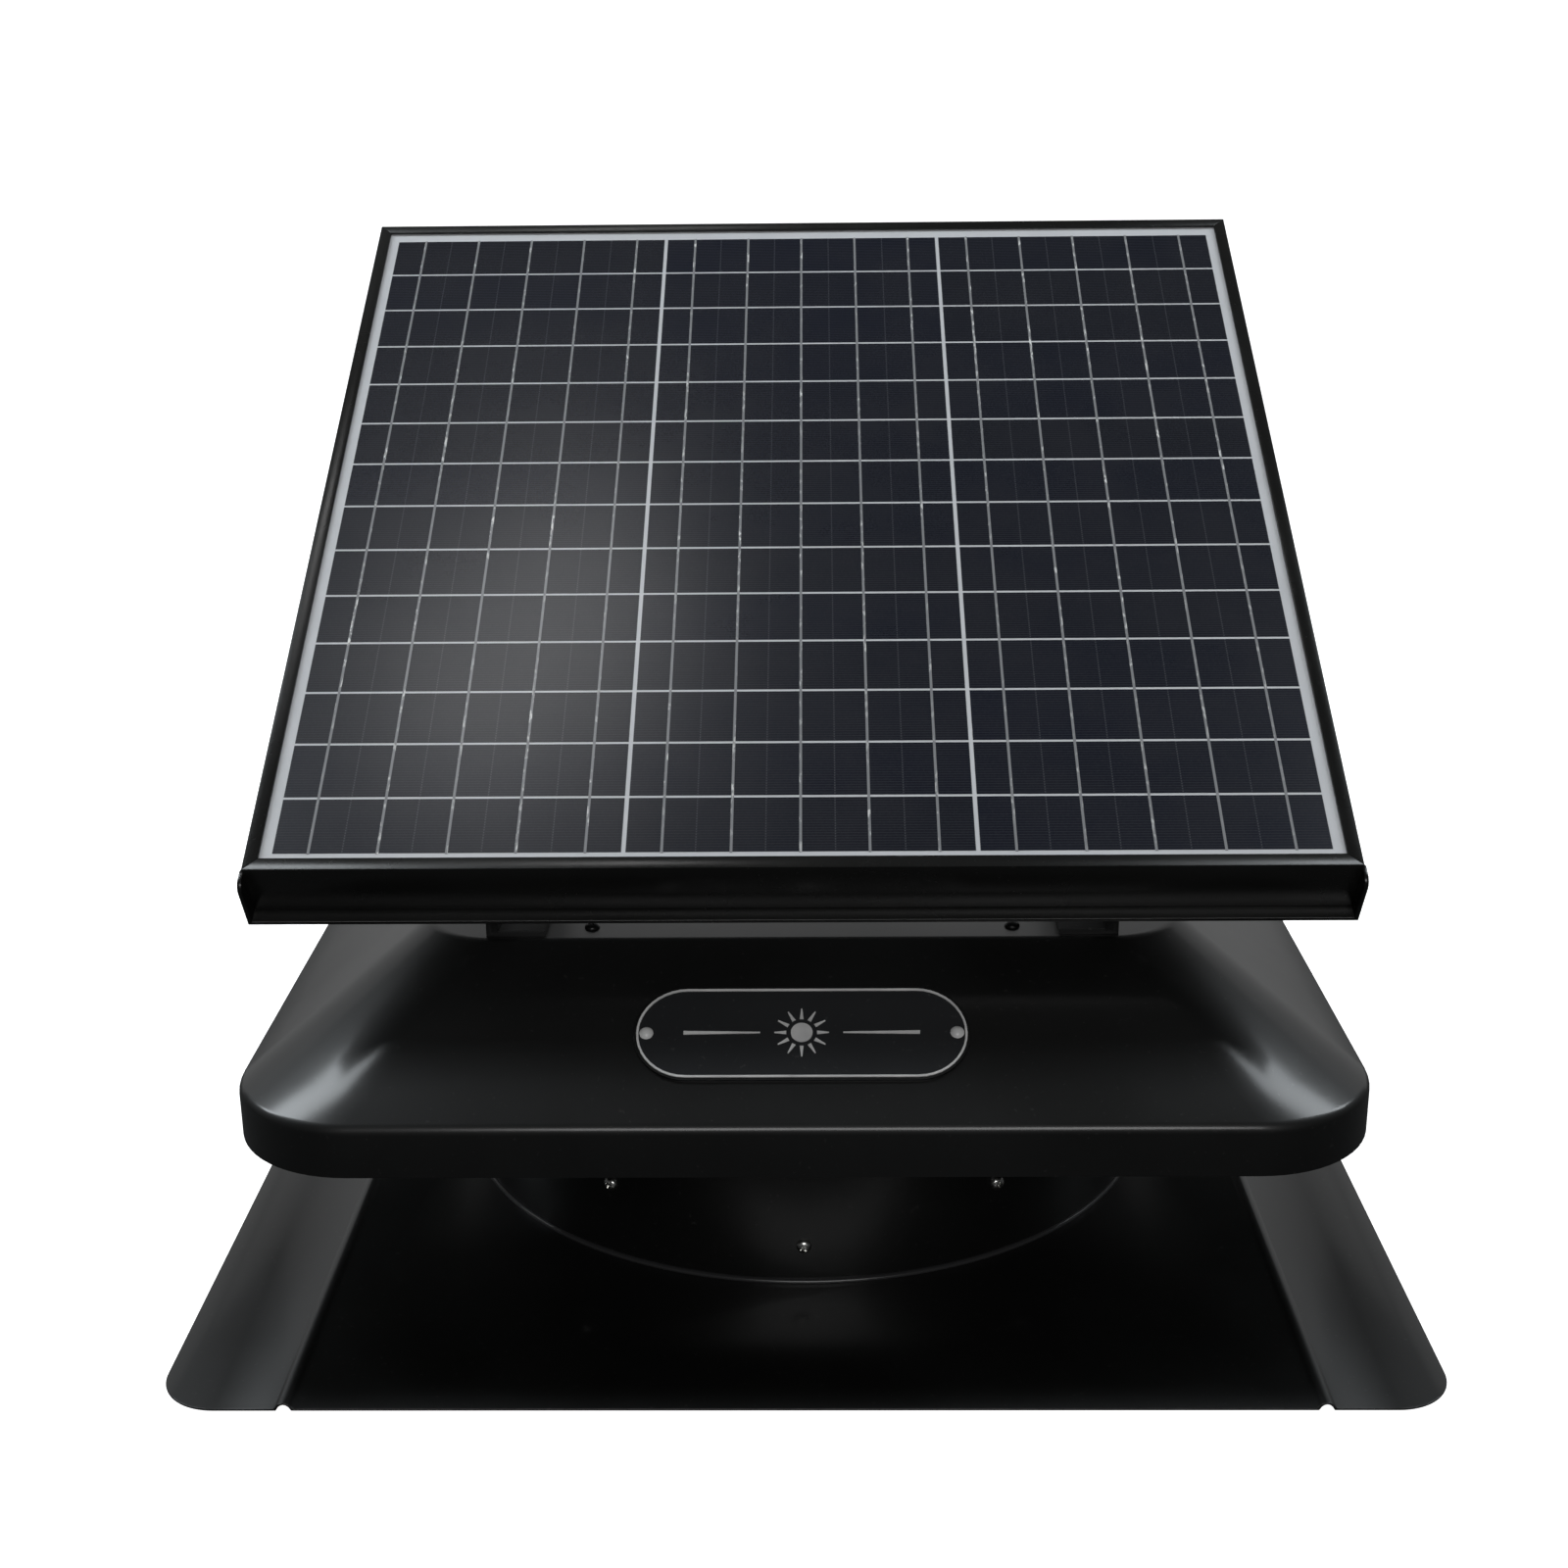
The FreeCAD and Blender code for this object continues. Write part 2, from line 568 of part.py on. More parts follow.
def make_grommet():
    where = {"x": "grommet_x", "y": "grommet_y"}
    collar = "grommet_hole+grommet_collar"
    rubber = fuse(rod(collar, "hood_top", "hood_top+grommet_flange", **where),
                  rod("grommet_hole", "hood_under", "hood_top", **where),
                  rod(collar, "hood_under-grommet_flange", "hood_under", **where))
    bore = rod("grommet_bore", "hood_under-drill_over", "hood_top+drill_over", **where)
    node(cut(rubber, bore), "cable_grommet")


# Motor bracket and motor

def motor_screw_holes(low, high):
    drills = [rod("screw_radius", low, high, x="motor_screw_circle") for quarter in range(4)]
    return [turned(drill, placement(angle=f"45+{angle}")) for drill, angle in zip(drills, around(4))]


def make_motor_bracket():
    low = "arm_top-arm_thick"
    half = "arm_wide/2"
    through = (f"{low}-drill_over", "arm_top+drill_over")
    pieces = [rod("bracket_disc", low, "arm_top")]
    holes = [rod("bearing_radius", *through)] + motor_screw_holes(*through)
    for angle in around(4):
        arm = box(("0", "arm_face"), (f"-{half}", half), (low, "arm_top"))
        tab = box(("arm_face-arm_thick", "arm_face"), (f"-{half}", half), ("arm_top-arm_tab", "arm_top"))
        hole = rod("screw_radius", "arm_face-drill_over", "arm_face+drill_over",
                   z="arm_screw_z", along="x")
        pieces.append(turned(arm, placement(angle=angle)))
        pieces.append(turned(tab, placement(angle=angle)))
        holes.append(turned(hole, placement(angle=angle)))
    node(cut(fuse(*pieces), *holes), "motor_bracket")


def make_thermostat():
    """A button thermostat on one arm, with two blade terminals."""
    top = "arm_top+stat_tall"
    post = rod("stat_radius", "arm_top", top, x="stat_x")
    plate = box(("stat_x-stat_long/2", "stat_x+stat_long/2"), ("-stat_wide/2", "stat_wide/2"),
                ("arm_top", "arm_top+stat_base"))
    tabs = [box(("stat_x-tab_thick/2", "stat_x+tab_thick/2"),
                (f"{side}*tab_apart-tab_wide/2", f"{side}*tab_apart+tab_wide/2"),
                (top, f"{top}+tab_tall")) for side in (-1, 1)]
    node(fuse(post, plate, *tabs), "thermostat")


def make_motor():
    inner = "motor_radius-motor_wall"
    floor = "arm_top+motor_floor"
    can = fuse(tube("motor_radius", inner, "arm_top", "housing_top"),
               tube(inner, "shaft_hole", "arm_top", floor),
               tube("bearing_radius+bearing_seat", "bearing_radius", floor, f"{floor}+bearing_tall"))
    node(cut(can, *motor_screw_holes("arm_top-drill_over", f"{floor}+board_up")), "motor_housing")

    cap_under = "housing_top-bearing_tall"
    cap = fuse(tube("motor_radius", "shaft_hole", "housing_top", "housing_top+cap_thick"),
               tube("bearing_radius+bearing_seat", "bearing_radius", cap_under, "housing_top"))
    node(cap, "motor_end_cap")

    bearings = [tube("bearing_radius", "shaft_radius+shaft_clear", low, f"({low})+bearing_tall")
                for low in (floor, cap_under)]
    node(group(bearings), "motor_bearings")

    low, high = "stator_mid-stator_tall/2", "stator_mid+stator_tall/2"
    stator = tube(inner, "magnet_radius+air_gap", low, high)
    slots, coils = [], []
    for angle in around(int(value("stator_slots"))):
        drill = rod("slot_radius", f"{low}-drill_over", f"{high}+drill_over", x="slot_circle")
        slots.append(turned(drill, placement(angle=angle)))
        coil = rod("slot_radius-coil_gap", f"{low}-coil_over", f"{high}+coil_over", x="slot_circle")
        coils.append(turned(coil, placement(angle=angle)))
    node(cut(stator, *slots), "stator_core")
    node(group(coils), "stator_windings")
    board_low = f"{floor}+board_up"
    node(tube(f"{inner}-board_gap", "bearing_radius+bearing_seat", board_low,
              f"{board_low}+board_thick"), "controller_board")

    screws = []
    for angle in around(4):
        shank = rod("screw_radius", "arm_top-arm_thick", floor, x="motor_screw_circle")
        head = rod("head_taper*screw_head", "arm_top-arm_thick-screw_head_tall",
                   "arm_top-arm_thick", x="motor_screw_circle", top_radius="screw_head")
        screws.append(place(fuse(shank, head), placement(angle=f"45+{angle}")))
    node(group(screws), "motor_screws")


# Fan wheel

def blade_section(radius, chord, pitch):
    """A thin cambered strip across the blade at one radius, as a closed wire."""
    camber, thick, height = value("blade_camber") * chord, value("blade_thick"), value("blade_z")
    lean = math.radians(pitch)

    def spot(along, up):
        return FreeCAD.Vector(radius, along * math.cos(lean) - up * math.sin(lean),
                              height + along * math.sin(lean) + up * math.cos(lean))

    half = chord / 2
    under = Part.Arc(spot(-half, 0), spot(0, camber), spot(half, 0)).toShape()
    nose = Part.LineSegment(spot(half, 0), spot(half, thick)).toShape()
    over = Part.Arc(spot(half, thick), spot(0, camber + thick), spot(-half, thick)).toShape()
    tail = Part.LineSegment(spot(-half, thick), spot(-half, 0)).toShape()
    return Part.Wire([under, nose, over, tail])


def make_blade_blank():
    trim = Part.makeCylinder(value("blade_tip"), 2 * value("throat_tall"))
    sections = [blade_section(value("blade_root"), value("blade_root_chord"), value("blade_root_pitch")),
                blade_section(value("blade_tip"), value("blade_tip_chord"), value("blade_tip_pitch"))]
    blank = doc.addObject("Part::Feature", "BladeBlank")
    blank.Shape = Part.makeLoft(sections, True, True).common(trim)
    return blank


def make_hub():
    top = "hub_low+hub_tall"
    node(rod("shaft_radius", "arm_top+shaft_foot", f"{top}+shaft_over"), "motor_shaft")
    node(tube("magnet_radius", "shaft_radius", "stator_mid-magnet_tall/2",
              "stator_mid+magnet_tall/2"), "rotor_magnet")
    collar = tube("hub_radius", "shaft_radius", "hub_low", top)
    screw_hole = rod("set_screw_r", "0", "hub_radius+drill_over", z=f"{top}-set_screw_down", along="x")
    node(cut(collar, screw_hole), "fan_hub")


def make_fan():
    """Five blades, each riveted to a twisted arm of the spider that the hub carries."""
    blank = make_blade_blank()
    tilt = placement("0", "0", "blade_z", (1, 0, 0), "blade_root_pitch")
    under = "arm_rise-spider_thick"
    pieces = [tube("spider_disc", "hub_radius", "spider_z", "spider_z+spider_thick")]
    rivets, arm_holes = [], []
    for number, step in enumerate(around(int(value("blade_count"))), start=1):
        angle = f"{step}+180/blade_count"
        arm = box(("spider_disc-spider_lap", "spider_reach"), ("-spider_arm/2", "spider_arm/2"),
                  (under, "arm_rise"))
        pieces.append(turned(arm, placement(angle=angle), tilt))
        blade_holes = []
        for radius in ("blade_root+rivet_end", "spider_reach-rivet_end"):
            chord = f"(blade_root_chord+({radius}-blade_root)" \
                    "*(blade_tip_chord-blade_root_chord)/(blade_tip-blade_root))"
            over = f"blade_camber*{chord}+blade_thick+rivet_clear"
            blade_holes.append(turned(rod("blade_rivet_r", "0", f"{over}+drill_over", x=radius), tilt))
            drill = rod("blade_rivet_r", f"{under}-drill_over", over, x=radius)
            arm_holes.append(turned(drill, placement(angle=angle), tilt))
            shank = rod("blade_rivet_r", under, over, x=radius)
            heads = [rod("blade_rivet_head", f"{under}-rivet_flat", under, x=radius),
                     rod("blade_rivet_head", over, f"{over}+rivet_flat", x=radius)]
            rivets.append(turned(fuse(shank, *heads), placement(angle=angle), tilt))
        node(cut(blank, *blade_holes), f"fan_blade_{number}", placement(angle=angle))
    bore = rod("hub_radius", "spider_z-drill_over", "spider_z+drill_over")
    node(cut(fuse(*pieces), bore, *arm_holes), "fan_spider")
    node(group(rivets), "blade_rivets")


# Solar panel, in its own flat frame: x across, y up the slope, z out of the glass

def frame_rail(name, long, drills, *steps):
    """One mitred frame profile: wall, lip over the glass, ledge and bottom flange."""
    body = new_body("Rail")
    section = sketch_on(body, "YZ_Plane")
    outline(section, [("0", "0"), ("frame_flange", "0"), ("frame_flange", "frame_wall"),
                      ("frame_wall", "frame_wall"), ("frame_wall", "sheet_under-frame_wall"),
                      ("frame_lip", "sheet_under-frame_wall"), ("frame_lip", "sheet_under"),
                      ("frame_wall", "sheet_under"), ("frame_wall", "glass_top"),
                      ("frame_lip", "glass_top"), ("frame_lip", "frame_tall"),
                      ("0", "frame_tall")])
    pad(body, section, long, middle=True)
    back = "frame_flange+drill_over"
    for sign in ("", "-"):
        mitre = sketch_on(body, "XY_Plane")
        outline(mitre, [(f"{sign}({long})/2", "0"), (f"{sign}({long})/2", back),
                        (f"{sign}(({long})/2-({back}))", back)])
        pocket(body, mitre, "4*frame_tall", middle=True)
    node(cut(body, *drills) if drills else body, name, PANEL, *steps)


def side_drills(flip):
    """The holes in a side rail, in its own frame: corner screws and one under the cross rail."""
    across = ("-drill_over", "frame_wall+drill_over")
    drills = [rod("screw_radius", *across, x=f"{end}*(panel_deep/2-corner_screw_in)", z=height, along="y")
              for end in (-1, 1) for height in ("corner_screw_low", "corner_screw_high")]
    drills.append(rod("screw_radius", *across, y="crossrail_in+crossrail_screw",
                      x=f"{flip}*(crossrail_v+crossrail_screw-panel_deep/2)"))
    return drills


def make_frame():
    right, up = "panel_wide/2", (0, 0, 1)
    lug_drills = [rod("screw_radius", "-drill_over", "frame_wall+drill_over",
                      x=f"{side}*(lug_face+lug_screw_out)", y="lug_screw_v") for side in (-1, 1)]
    frame_rail("frame_front", "panel_wide", lug_drills, placement())
    frame_rail("frame_rear", "panel_wide", [], placement("0", "panel_deep", "0", up, "180"))
    frame_rail("frame_left", "panel_deep", side_drills(-1),
               placement(f"-{right}", "panel_deep/2", "0", up, "-90"))
    frame_rail("frame_right", "panel_deep", side_drills(1),
               placement(right, "panel_deep/2", "0", up, "90"))

    screws = []
    for side in (-1, 1):
        for along in ("corner_screw_in", "panel_deep-corner_screw_in"):
            for height in ("corner_screw_low", "corner_screw_high"):
                screw = round_screw("screw_head", "screw_head_tall", "screw_radius",
                                    "frame_wall+screw_tail")
                screws.append(place(screw, placement(f"{side}*panel_wide/2", along, height,
                                                     (0, 1, 0), f"{side}*90")))
    node(group(screws), "corner_screws", PANEL)


def make_laminate():
    """Glass, cells and backsheet, stacked between the frame's lip and its ledge."""
    across = ("frame_wall-panel_wide/2", "panel_wide/2-frame_wall")
    along = ("frame_wall", "panel_deep-frame_wall")
    node(group([box(across, along, ("glass_under", "glass_top"))]), "panel_glass", PANEL)
    cells = []
    for row in range(int(value("cell_rows"))):
        start = f"frame_lip+border_front+{row}*(cell_strip+row_gap)"
        for column in range(int(value("cell_columns"))):
            left = f"{column}*(cell_wide+column_gap)-(cells_wide)/2"
            cells.append(box((left, f"{left}+cell_wide"), (start, f"{start}+cell_strip"),
                             ("sheet_top", "glass_under")))
    node(group(cells), "solar_cells", PANEL)
    node(group([box(across, along, ("sheet_under", "sheet_top"))]), "backsheet", PANEL)


def make_front_channel():
    """A folded strip under and in front of the frame, with an ear at each end."""
    wide, thick = "panel_wide/2", "channel_thick"
    sole = box((f"-{wide}-{thick}", f"{wide}+{thick}"), ("-channel_reach", "frame_flange"),
               (f"-{thick}", "0"))
    ears = [box(mirrored(side, wide, f"{wide}+{thick}"), ("-channel_reach", "ear_back"),
                ("0", "ear_tall")) for side in (-1, 1)]
    holes = [rod("screw_radius", "-drill_over", "drill_over",
                 x=f"{side}*(lug_face+lug_screw_out)", y="lug_screw_v") for side in (-1, 1)]
    node(cut(fuse(sole, *ears), *holes), "front_channel", PANEL)


def make_junction_box():
    """A lidded box on the backsheet, with a cable gland in its front wall."""
    low, high = "panel_deep-box_back-box_wide", "panel_deep-box_back"
    floor, half = "sheet_under-box_tall", "box_long/2"
    middle = f"{floor}+box_tall/2"
    shell = box((f"-{half}", half), (low, high), (floor, "sheet_under"))
    room = box((f"-{half}+box_wall", f"{half}-box_wall"), (f"{low}+box_wall", f"{high}-box_wall"),
               (f"{floor}-box_wall", "sheet_under-box_wall"))
    hole = rod("gland_radius", f"{low}-drill_over", f"{low}+drill_over", z=middle, along="y")
    node(cut(shell, room, hole), "junction_box", PANEL)

    lid = box((f"-{half}", half), (low, high), (f"{floor}-box_wall", floor))
    inset = "box_wall+lid_gap"
    rim = box((f"-{half}+{inset}", f"{half}-({inset})"), (f"{low}+{inset}", f"{high}-({inset})"),
              (floor, f"{floor}+lid_rim"))
    node(fuse(lid, rim), "junction_box_lid", PANEL)

    nut = rod("gland_nut", f"{low}-gland_long", low, z=middle, along="y")
    neck = rod("gland_radius", low, f"{low}+box_wall+lid_rim", z=middle, along="y")
    bore = rod("gland_bore", f"{low}-2*drill_over", f"{low}+2*drill_over", z=middle, along="y")
    node(cut(fuse(nut, neck), bore), "cable_gland", PANEL)


# Supports between the hood and the panel

def rail_bolt_places(side):
    return [(f"{side}*(rail_offset-rail_flange/2)", f"{step}*rail_long/3") for step in (-1, 0, 1)]


def mirrored(side, low, high):
    """A stretch of x given for the right side, turned over for the left."""
    return (low, high) if side > 0 else (f"-({high})", f"-({low})")


def post_bolt_places():
    return [(f"pivot_y+{step}*post_bolt", "rail_top-post_bolt_down") for step in (-1, 1)]


def make_rails():
    """Two angle rails on the hood, each with a post for the panel's hinge."""
    rails, posts, bolts = [], [], []
    half = "rail_long/2"
    for side in (-1, 1):
        web = box(mirrored(side, "rail_offset", "rail_face"), (f"-{half}", half), ("hood_top", "rail_top"))
        flange = box(mirrored(side, "rail_offset-rail_flange", "rail_offset"), (f"-{half}", half),
                     ("hood_top", "hood_top+rail_thick"))
        plate = box(mirrored(side, "post_face", "rail_offset"),
                    ("pivot_y-post_wide/2", "pivot_y+post_wide/2"),
                    ("hood_top+rail_thick+side_gap", "pivot_z+post_over"))
        ends = mirrored(side, "rail_offset-drill_over", "rail_face+drill_over")
        web_drills = [rod("pin_radius", *ends, y="foot_y", z="foot_z", along="x")]
        post_drills = [rod("pin_radius", *ends, y="pivot_y", z="pivot_z", along="x")]
        for y, z in post_bolt_places():
            web_drills.append(rod("bolt_radius", *ends, y=y, z=z, along="x"))
            post_drills.append(rod("bolt_radius", *ends, y=y, z=z, along="x"))
            shank = rod("bolt_radius", *mirrored(side, "post_face", "rail_face"), y=y, z=z, along="x")
            head = mirrored(side, "post_face-bolt_head_tall", "post_face")
            bolts.append(fuse(shank, rod("bolt_head", *head, y=y, z=z, along="x")))
        for x, y in rail_bolt_places(side):
            web_drills.append(rod("bolt_radius", "hood_under", "hood_top+drill_over", x=x, y=y))
            bolts.append(round_screw("bolt_head", "bolt_head_tall", "bolt_radius",
                                     "rail_thick+hood_wall+screw_tail", x=x, y=y,
                                     z="hood_top+rail_thick"))
        rails.append(cut(fuse(web, flange), *web_drills))
        posts.append(cut(plate, *post_drills))
    node(group(rails), "base_rails")
    node(group(posts), "pivot_posts")
    node(group(bolts), "rail_bolts")


def make_axles():
    """The panel's hinge bolts with their bushes, and the bolts at the legs' feet."""
    axles, feet = [], []
    for side in (-1, 1):
        axles.append(cross_bolt("post_face", "lug_face+lug_thick+nut_gap", "pivot_y", "pivot_z", side))
        bush = mirrored(side, "rail_offset", "lug_face-nut_gap")
        axles.append(tube("bush_radius", "pin_radius", *bush, y="pivot_y", z="pivot_z", along="x"))
        feet.append(cross_bolt("rail_offset", "lug_face+tube_side+nut_gap", "foot_y", "foot_z", side))
    node(group(axles), "hinge_bolts")
    node(group(feet), "leg_foot_bolts")


def panel_screw(side, x, v, seat):
    """A screw driven up into the panel's frame from under its seat."""
    centre = mirrored(side, x, x)[0]
    head = rod("screw_head", f"{seat}-screw_head_tall", seat, x=centre, y=v)
    return fuse(head, rod("screw_radius", seat, "frame_wall+screw_tail", x=centre, y=v))


def make_hinge_lugs():
    """An angle under each end of the front rail, hung on the hinge bolt."""
    lugs, screws = [], []
    for side in (-1, 1):
        ear = box(mirrored(side, "lug_face", "lug_face+lug_thick"),
                  ("pivot_in-lug_wide/2", "pivot_in+lug_wide/2"), ("-lug_tall", "-channel_thick"))
        sole = box(mirrored(side, "lug_face", "lug_face+lug_wide"),
                   ("lug_foot", "pivot_in+lug_wide/2"), ("-channel_thick-lug_thick", "-channel_thick"))
        through = mirrored(side, "lug_face-drill_over", "lug_face+lug_thick+drill_over")
        eye = rod("pin_radius+pin_clear", *through, y="pivot_in", z="-pivot_down", along="x")
        hole = rod("screw_radius", "-drill_over", "0", x=f"{side}*(lug_face+lug_screw_out)",
                   y="lug_screw_v")
        lugs.append(cut(fuse(ear, sole), eye, hole))
        screws.append(panel_screw(side, "lug_face+lug_screw_out", "lug_screw_v",
                                  "-channel_thick-lug_thick"))
        screws.append(panel_screw(side, "panel_wide/2-crossrail_in-crossrail_screw",
                                  "crossrail_v+crossrail_screw", "-rail_thick"))
    node(group(lugs), "hinge_lugs", PANEL)
    node(group(screws), "lug_screws", PANEL)


def make_cross_rail():
    """An angle across the panel's back that takes the legs' thrust through two lugs."""
    wide = ("crossrail_in-panel_wide/2", "panel_wide/2-crossrail_in")
    web = box(wide, ("crossrail_v", "crossrail_v+rail_thick"), ("-crossrail_tall", "0"))
    flange = box(wide, ("crossrail_v", "crossrail_v+crossrail_flange"), ("-rail_thick", "0"))
    drills = [rod("screw_radius", "-drill_over", "drill_over", y="crossrail_v+crossrail_screw",
                  x=f"{side}*(panel_wide/2-crossrail_in-crossrail_screw)") for side in (-1, 1)]
    node(cut(fuse(web, flange), *drills), "cross_rail", PANEL)

    lugs, bolts = [], []
    tall = ("-lug_tall", "-side_gap")
    for side in (-1, 1):
        wing = box(mirrored(side, "outer_lug", "outer_lug+lug_thick"),
                   ("joint_v-lug_wide/2", "crossrail_v"), tall)
        tab = box(mirrored(side, "outer_lug", "outer_lug+lug_tab"),
                  ("crossrail_v-lug_thick", "crossrail_v"), tall)
        through = mirrored(side, "outer_lug-drill_over", "outer_lug+lug_thick+drill_over")
        eye = rod("pin_radius", *through, y="joint_v", z="-pivot_down", along="x")
        lugs.append(cut(fuse(wing, tab), eye))
        bolts.append(cross_bolt("lug_face+tube_wall", "outer_lug+lug_thick", "joint_v",
                                "-pivot_down", side))
    node(group(lugs), "leg_lugs", PANEL)
    node(group(bolts), "leg_top_bolts", PANEL)


def make_legs():
    """Telescoping legs: a square tube from the rail and a bar down from the panel.
    Each is drawn along +z from its foot pivot, then leaned back over the hood."""
    lean = placement("0", "foot_y", "foot_z", (1, 0, 0), "leg_lean")
    half, bar_half = "tube_side/2", "bar_side/2"
    outside = "lug_face+tube_side"
    for name, side in (("left", -1), ("right", 1)):
        skin = box(mirrored(side, "lug_face", outside), (f"-{half}", half), (f"-{half}", "tube_long"))
        core = box(mirrored(side, "lug_face+tube_wall", f"{outside}-tube_wall"),
                   (f"-{half}+tube_wall", f"{half}-tube_wall"),
                   (f"-{half}-drill_over", "tube_long+drill_over"))
        across = mirrored(side, "lug_face-drill_over", f"{outside}+drill_over")
        pin_hole = rod("pin_radius+pin_clear", *across, along="x")
        screw_side = mirrored(side, f"{outside}-tube_wall-slide_gap", f"{outside}+drill_over")
        screw_hole = rod("knob_screw_r+slot_clear", *screw_side, z="tube_long-knob_back", along="x")
        node(cut(skin, core, pin_hole, screw_hole), f"lower_leg_{name}", lean)

        inset = "lug_face+tube_wall+slide_gap"
        bar = box(mirrored(side, inset, f"{inset}+bar_side"), (f"-{bar_half}", bar_half),
                  ("leg_span-bar_long", f"leg_span+{bar_half}"))
        wide = "pin_radius+slot_clear"
        ends = ("leg_span-slot_play", "leg_span+slot_play")
        slot = fuse(*[rod(wide, *across, z=end, along="x") for end in ends],
                    box(across, (f"-({wide})", wide), ends))
        node(cut(bar, slot), f"upper_leg_{name}", lean)

        tip, seat = f"{outside}-tube_wall+slot_clear", f"{outside}+side_gap"
        height = "tube_long-knob_back"
        stem = rod("knob_screw_r", *mirrored(side, tip, f"{seat}+knob_long/2"), z=height, along="x")
        grip = rod("knob_radius", *mirrored(side, seat, f"{seat}+knob_long"), z=height, along="x")
        wing = box(mirrored(side, f"{seat}+wing_in", f"{seat}+knob_long-wing_in"),
                   ("-knob_wing", "knob_wing"), (f"{height}-wing_thick/2", f"{height}+wing_thick/2"))
        node(fuse(stem, grip, wing), f"clamp_knob_{name}", lean)


make_flashing()
shell_screws = make_throat()
make_bead()
make_hood()
shell_screws += make_hood_legs()
node(group(shell_screws), "shell_screws")
make_screen()
make_nameplate()
make_grommet()
make_motor_bracket()
make_thermostat()
make_motor()
make_hub()
make_fan()
make_frame()
make_laminate()
make_front_channel()
make_junction_box()
make_rails()
make_axles()
make_hinge_lugs()
make_cross_rail()
make_legs()
doc.recompute()

for item in doc.Objects:
    if "Invalid" in item.State or "Error" in item.State:
        raise RuntimeError(f"{item.Name} ({item.Label}) failed: {item.State}")
for item in nodes:
    if item.Shape.isNull() or not item.Shape.isValid() or not item.Shape.Solids:
        raise RuntimeError(f"{item.Label} has no valid solid")

os.makedirs("parts", exist_ok=True)
for item in nodes:
    item.Shape.exportStep(f"parts/{item.Label}.step")
print(len(nodes), "sub-parts written")
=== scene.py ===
import json
import math

import bmesh
import bpy
from mathutils import Matrix, Vector

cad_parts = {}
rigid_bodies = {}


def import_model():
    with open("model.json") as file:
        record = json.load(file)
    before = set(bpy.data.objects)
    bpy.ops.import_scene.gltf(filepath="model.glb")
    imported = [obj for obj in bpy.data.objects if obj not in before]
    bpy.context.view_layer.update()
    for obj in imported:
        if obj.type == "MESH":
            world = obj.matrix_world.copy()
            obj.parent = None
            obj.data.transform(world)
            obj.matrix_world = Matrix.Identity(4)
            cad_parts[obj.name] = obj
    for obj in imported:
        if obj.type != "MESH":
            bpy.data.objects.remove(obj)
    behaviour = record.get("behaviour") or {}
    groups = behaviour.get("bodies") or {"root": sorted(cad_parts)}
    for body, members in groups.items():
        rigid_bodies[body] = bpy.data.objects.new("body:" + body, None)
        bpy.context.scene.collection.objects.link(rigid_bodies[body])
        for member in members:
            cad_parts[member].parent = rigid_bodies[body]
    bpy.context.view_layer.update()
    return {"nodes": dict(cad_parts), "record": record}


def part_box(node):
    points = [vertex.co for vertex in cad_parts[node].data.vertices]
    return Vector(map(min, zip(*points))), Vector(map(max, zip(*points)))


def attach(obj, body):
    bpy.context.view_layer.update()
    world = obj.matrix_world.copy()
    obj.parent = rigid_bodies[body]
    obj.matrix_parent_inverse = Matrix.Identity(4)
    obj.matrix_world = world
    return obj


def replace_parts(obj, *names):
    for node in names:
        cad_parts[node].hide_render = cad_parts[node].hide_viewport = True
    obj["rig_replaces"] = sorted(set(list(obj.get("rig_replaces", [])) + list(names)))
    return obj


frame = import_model()
mm = 0.001
print("frame loaded:", len(frame["nodes"]), "nodes")


# shader effects that several materials share

def groupTree(name, inputs, outputs):
    tree = bpy.data.node_groups.new(name, "ShaderNodeTree")
    for label, kind, default in inputs:
        socket = tree.interface.new_socket(label, in_out="INPUT", socket_type=kind)
        if default is not None:
            socket.default_value = default
    for label, kind in outputs:
        tree.interface.new_socket(label, in_out="OUTPUT", socket_type=kind)
    return tree, tree.nodes.new("NodeGroupInput"), tree.nodes.new("NodeGroupOutput")


def feed(tree, socket, value):
    if isinstance(value, bpy.types.NodeSocket):
        tree.links.new(value, socket)
    elif value is not None:
        socket.default_value = value


def mathNode(tree, operation, a, b=None, clamp=False):
    node = tree.nodes.new("ShaderNodeMath")
    node.operation = operation
    node.use_clamp = clamp
    feed(tree, node.inputs[0], a)
    feed(tree, node.inputs[1], b)
    return node.outputs[0]


def noiseNode(tree, vector, scale, detail=2.0):
    node = tree.nodes.new("ShaderNodeTexNoise")
    node.inputs["Detail"].default_value = detail
    feed(tree, node.inputs["Scale"], scale)
    feed(tree, node.inputs["Vector"], vector)
    return node.outputs["Fac"]


def remap(tree, value, low, high, newLow=0.0, newHigh=1.0):
    node = tree.nodes.new("ShaderNodeMapRange")
    for socket, item in zip(node.inputs, (value, low, high, newLow, newHigh)):
        feed(tree, socket, item)
    return node.outputs[0]


def mixColor(tree, fac, a, b):
    node = tree.nodes.new("ShaderNodeMix")
    node.data_type = "RGBA"
    feed(tree, node.inputs[0], fac)
    feed(tree, node.inputs[6], a)
    feed(tree, node.inputs[7], b)
    return node.outputs[2]


def stretched(tree, vector, x, y, z):
    node = tree.nodes.new("ShaderNodeVectorMath")
    node.operation = "MULTIPLY"
    feed(tree, node.inputs[0], vector)
    node.inputs[1].default_value = (x, y, z)
    return node.outputs[0]


surfaceOutputs = [("Colour", "NodeSocketColor"), ("Roughness", "NodeSocketFloat"),
                  ("Height", "NodeSocketFloat")]


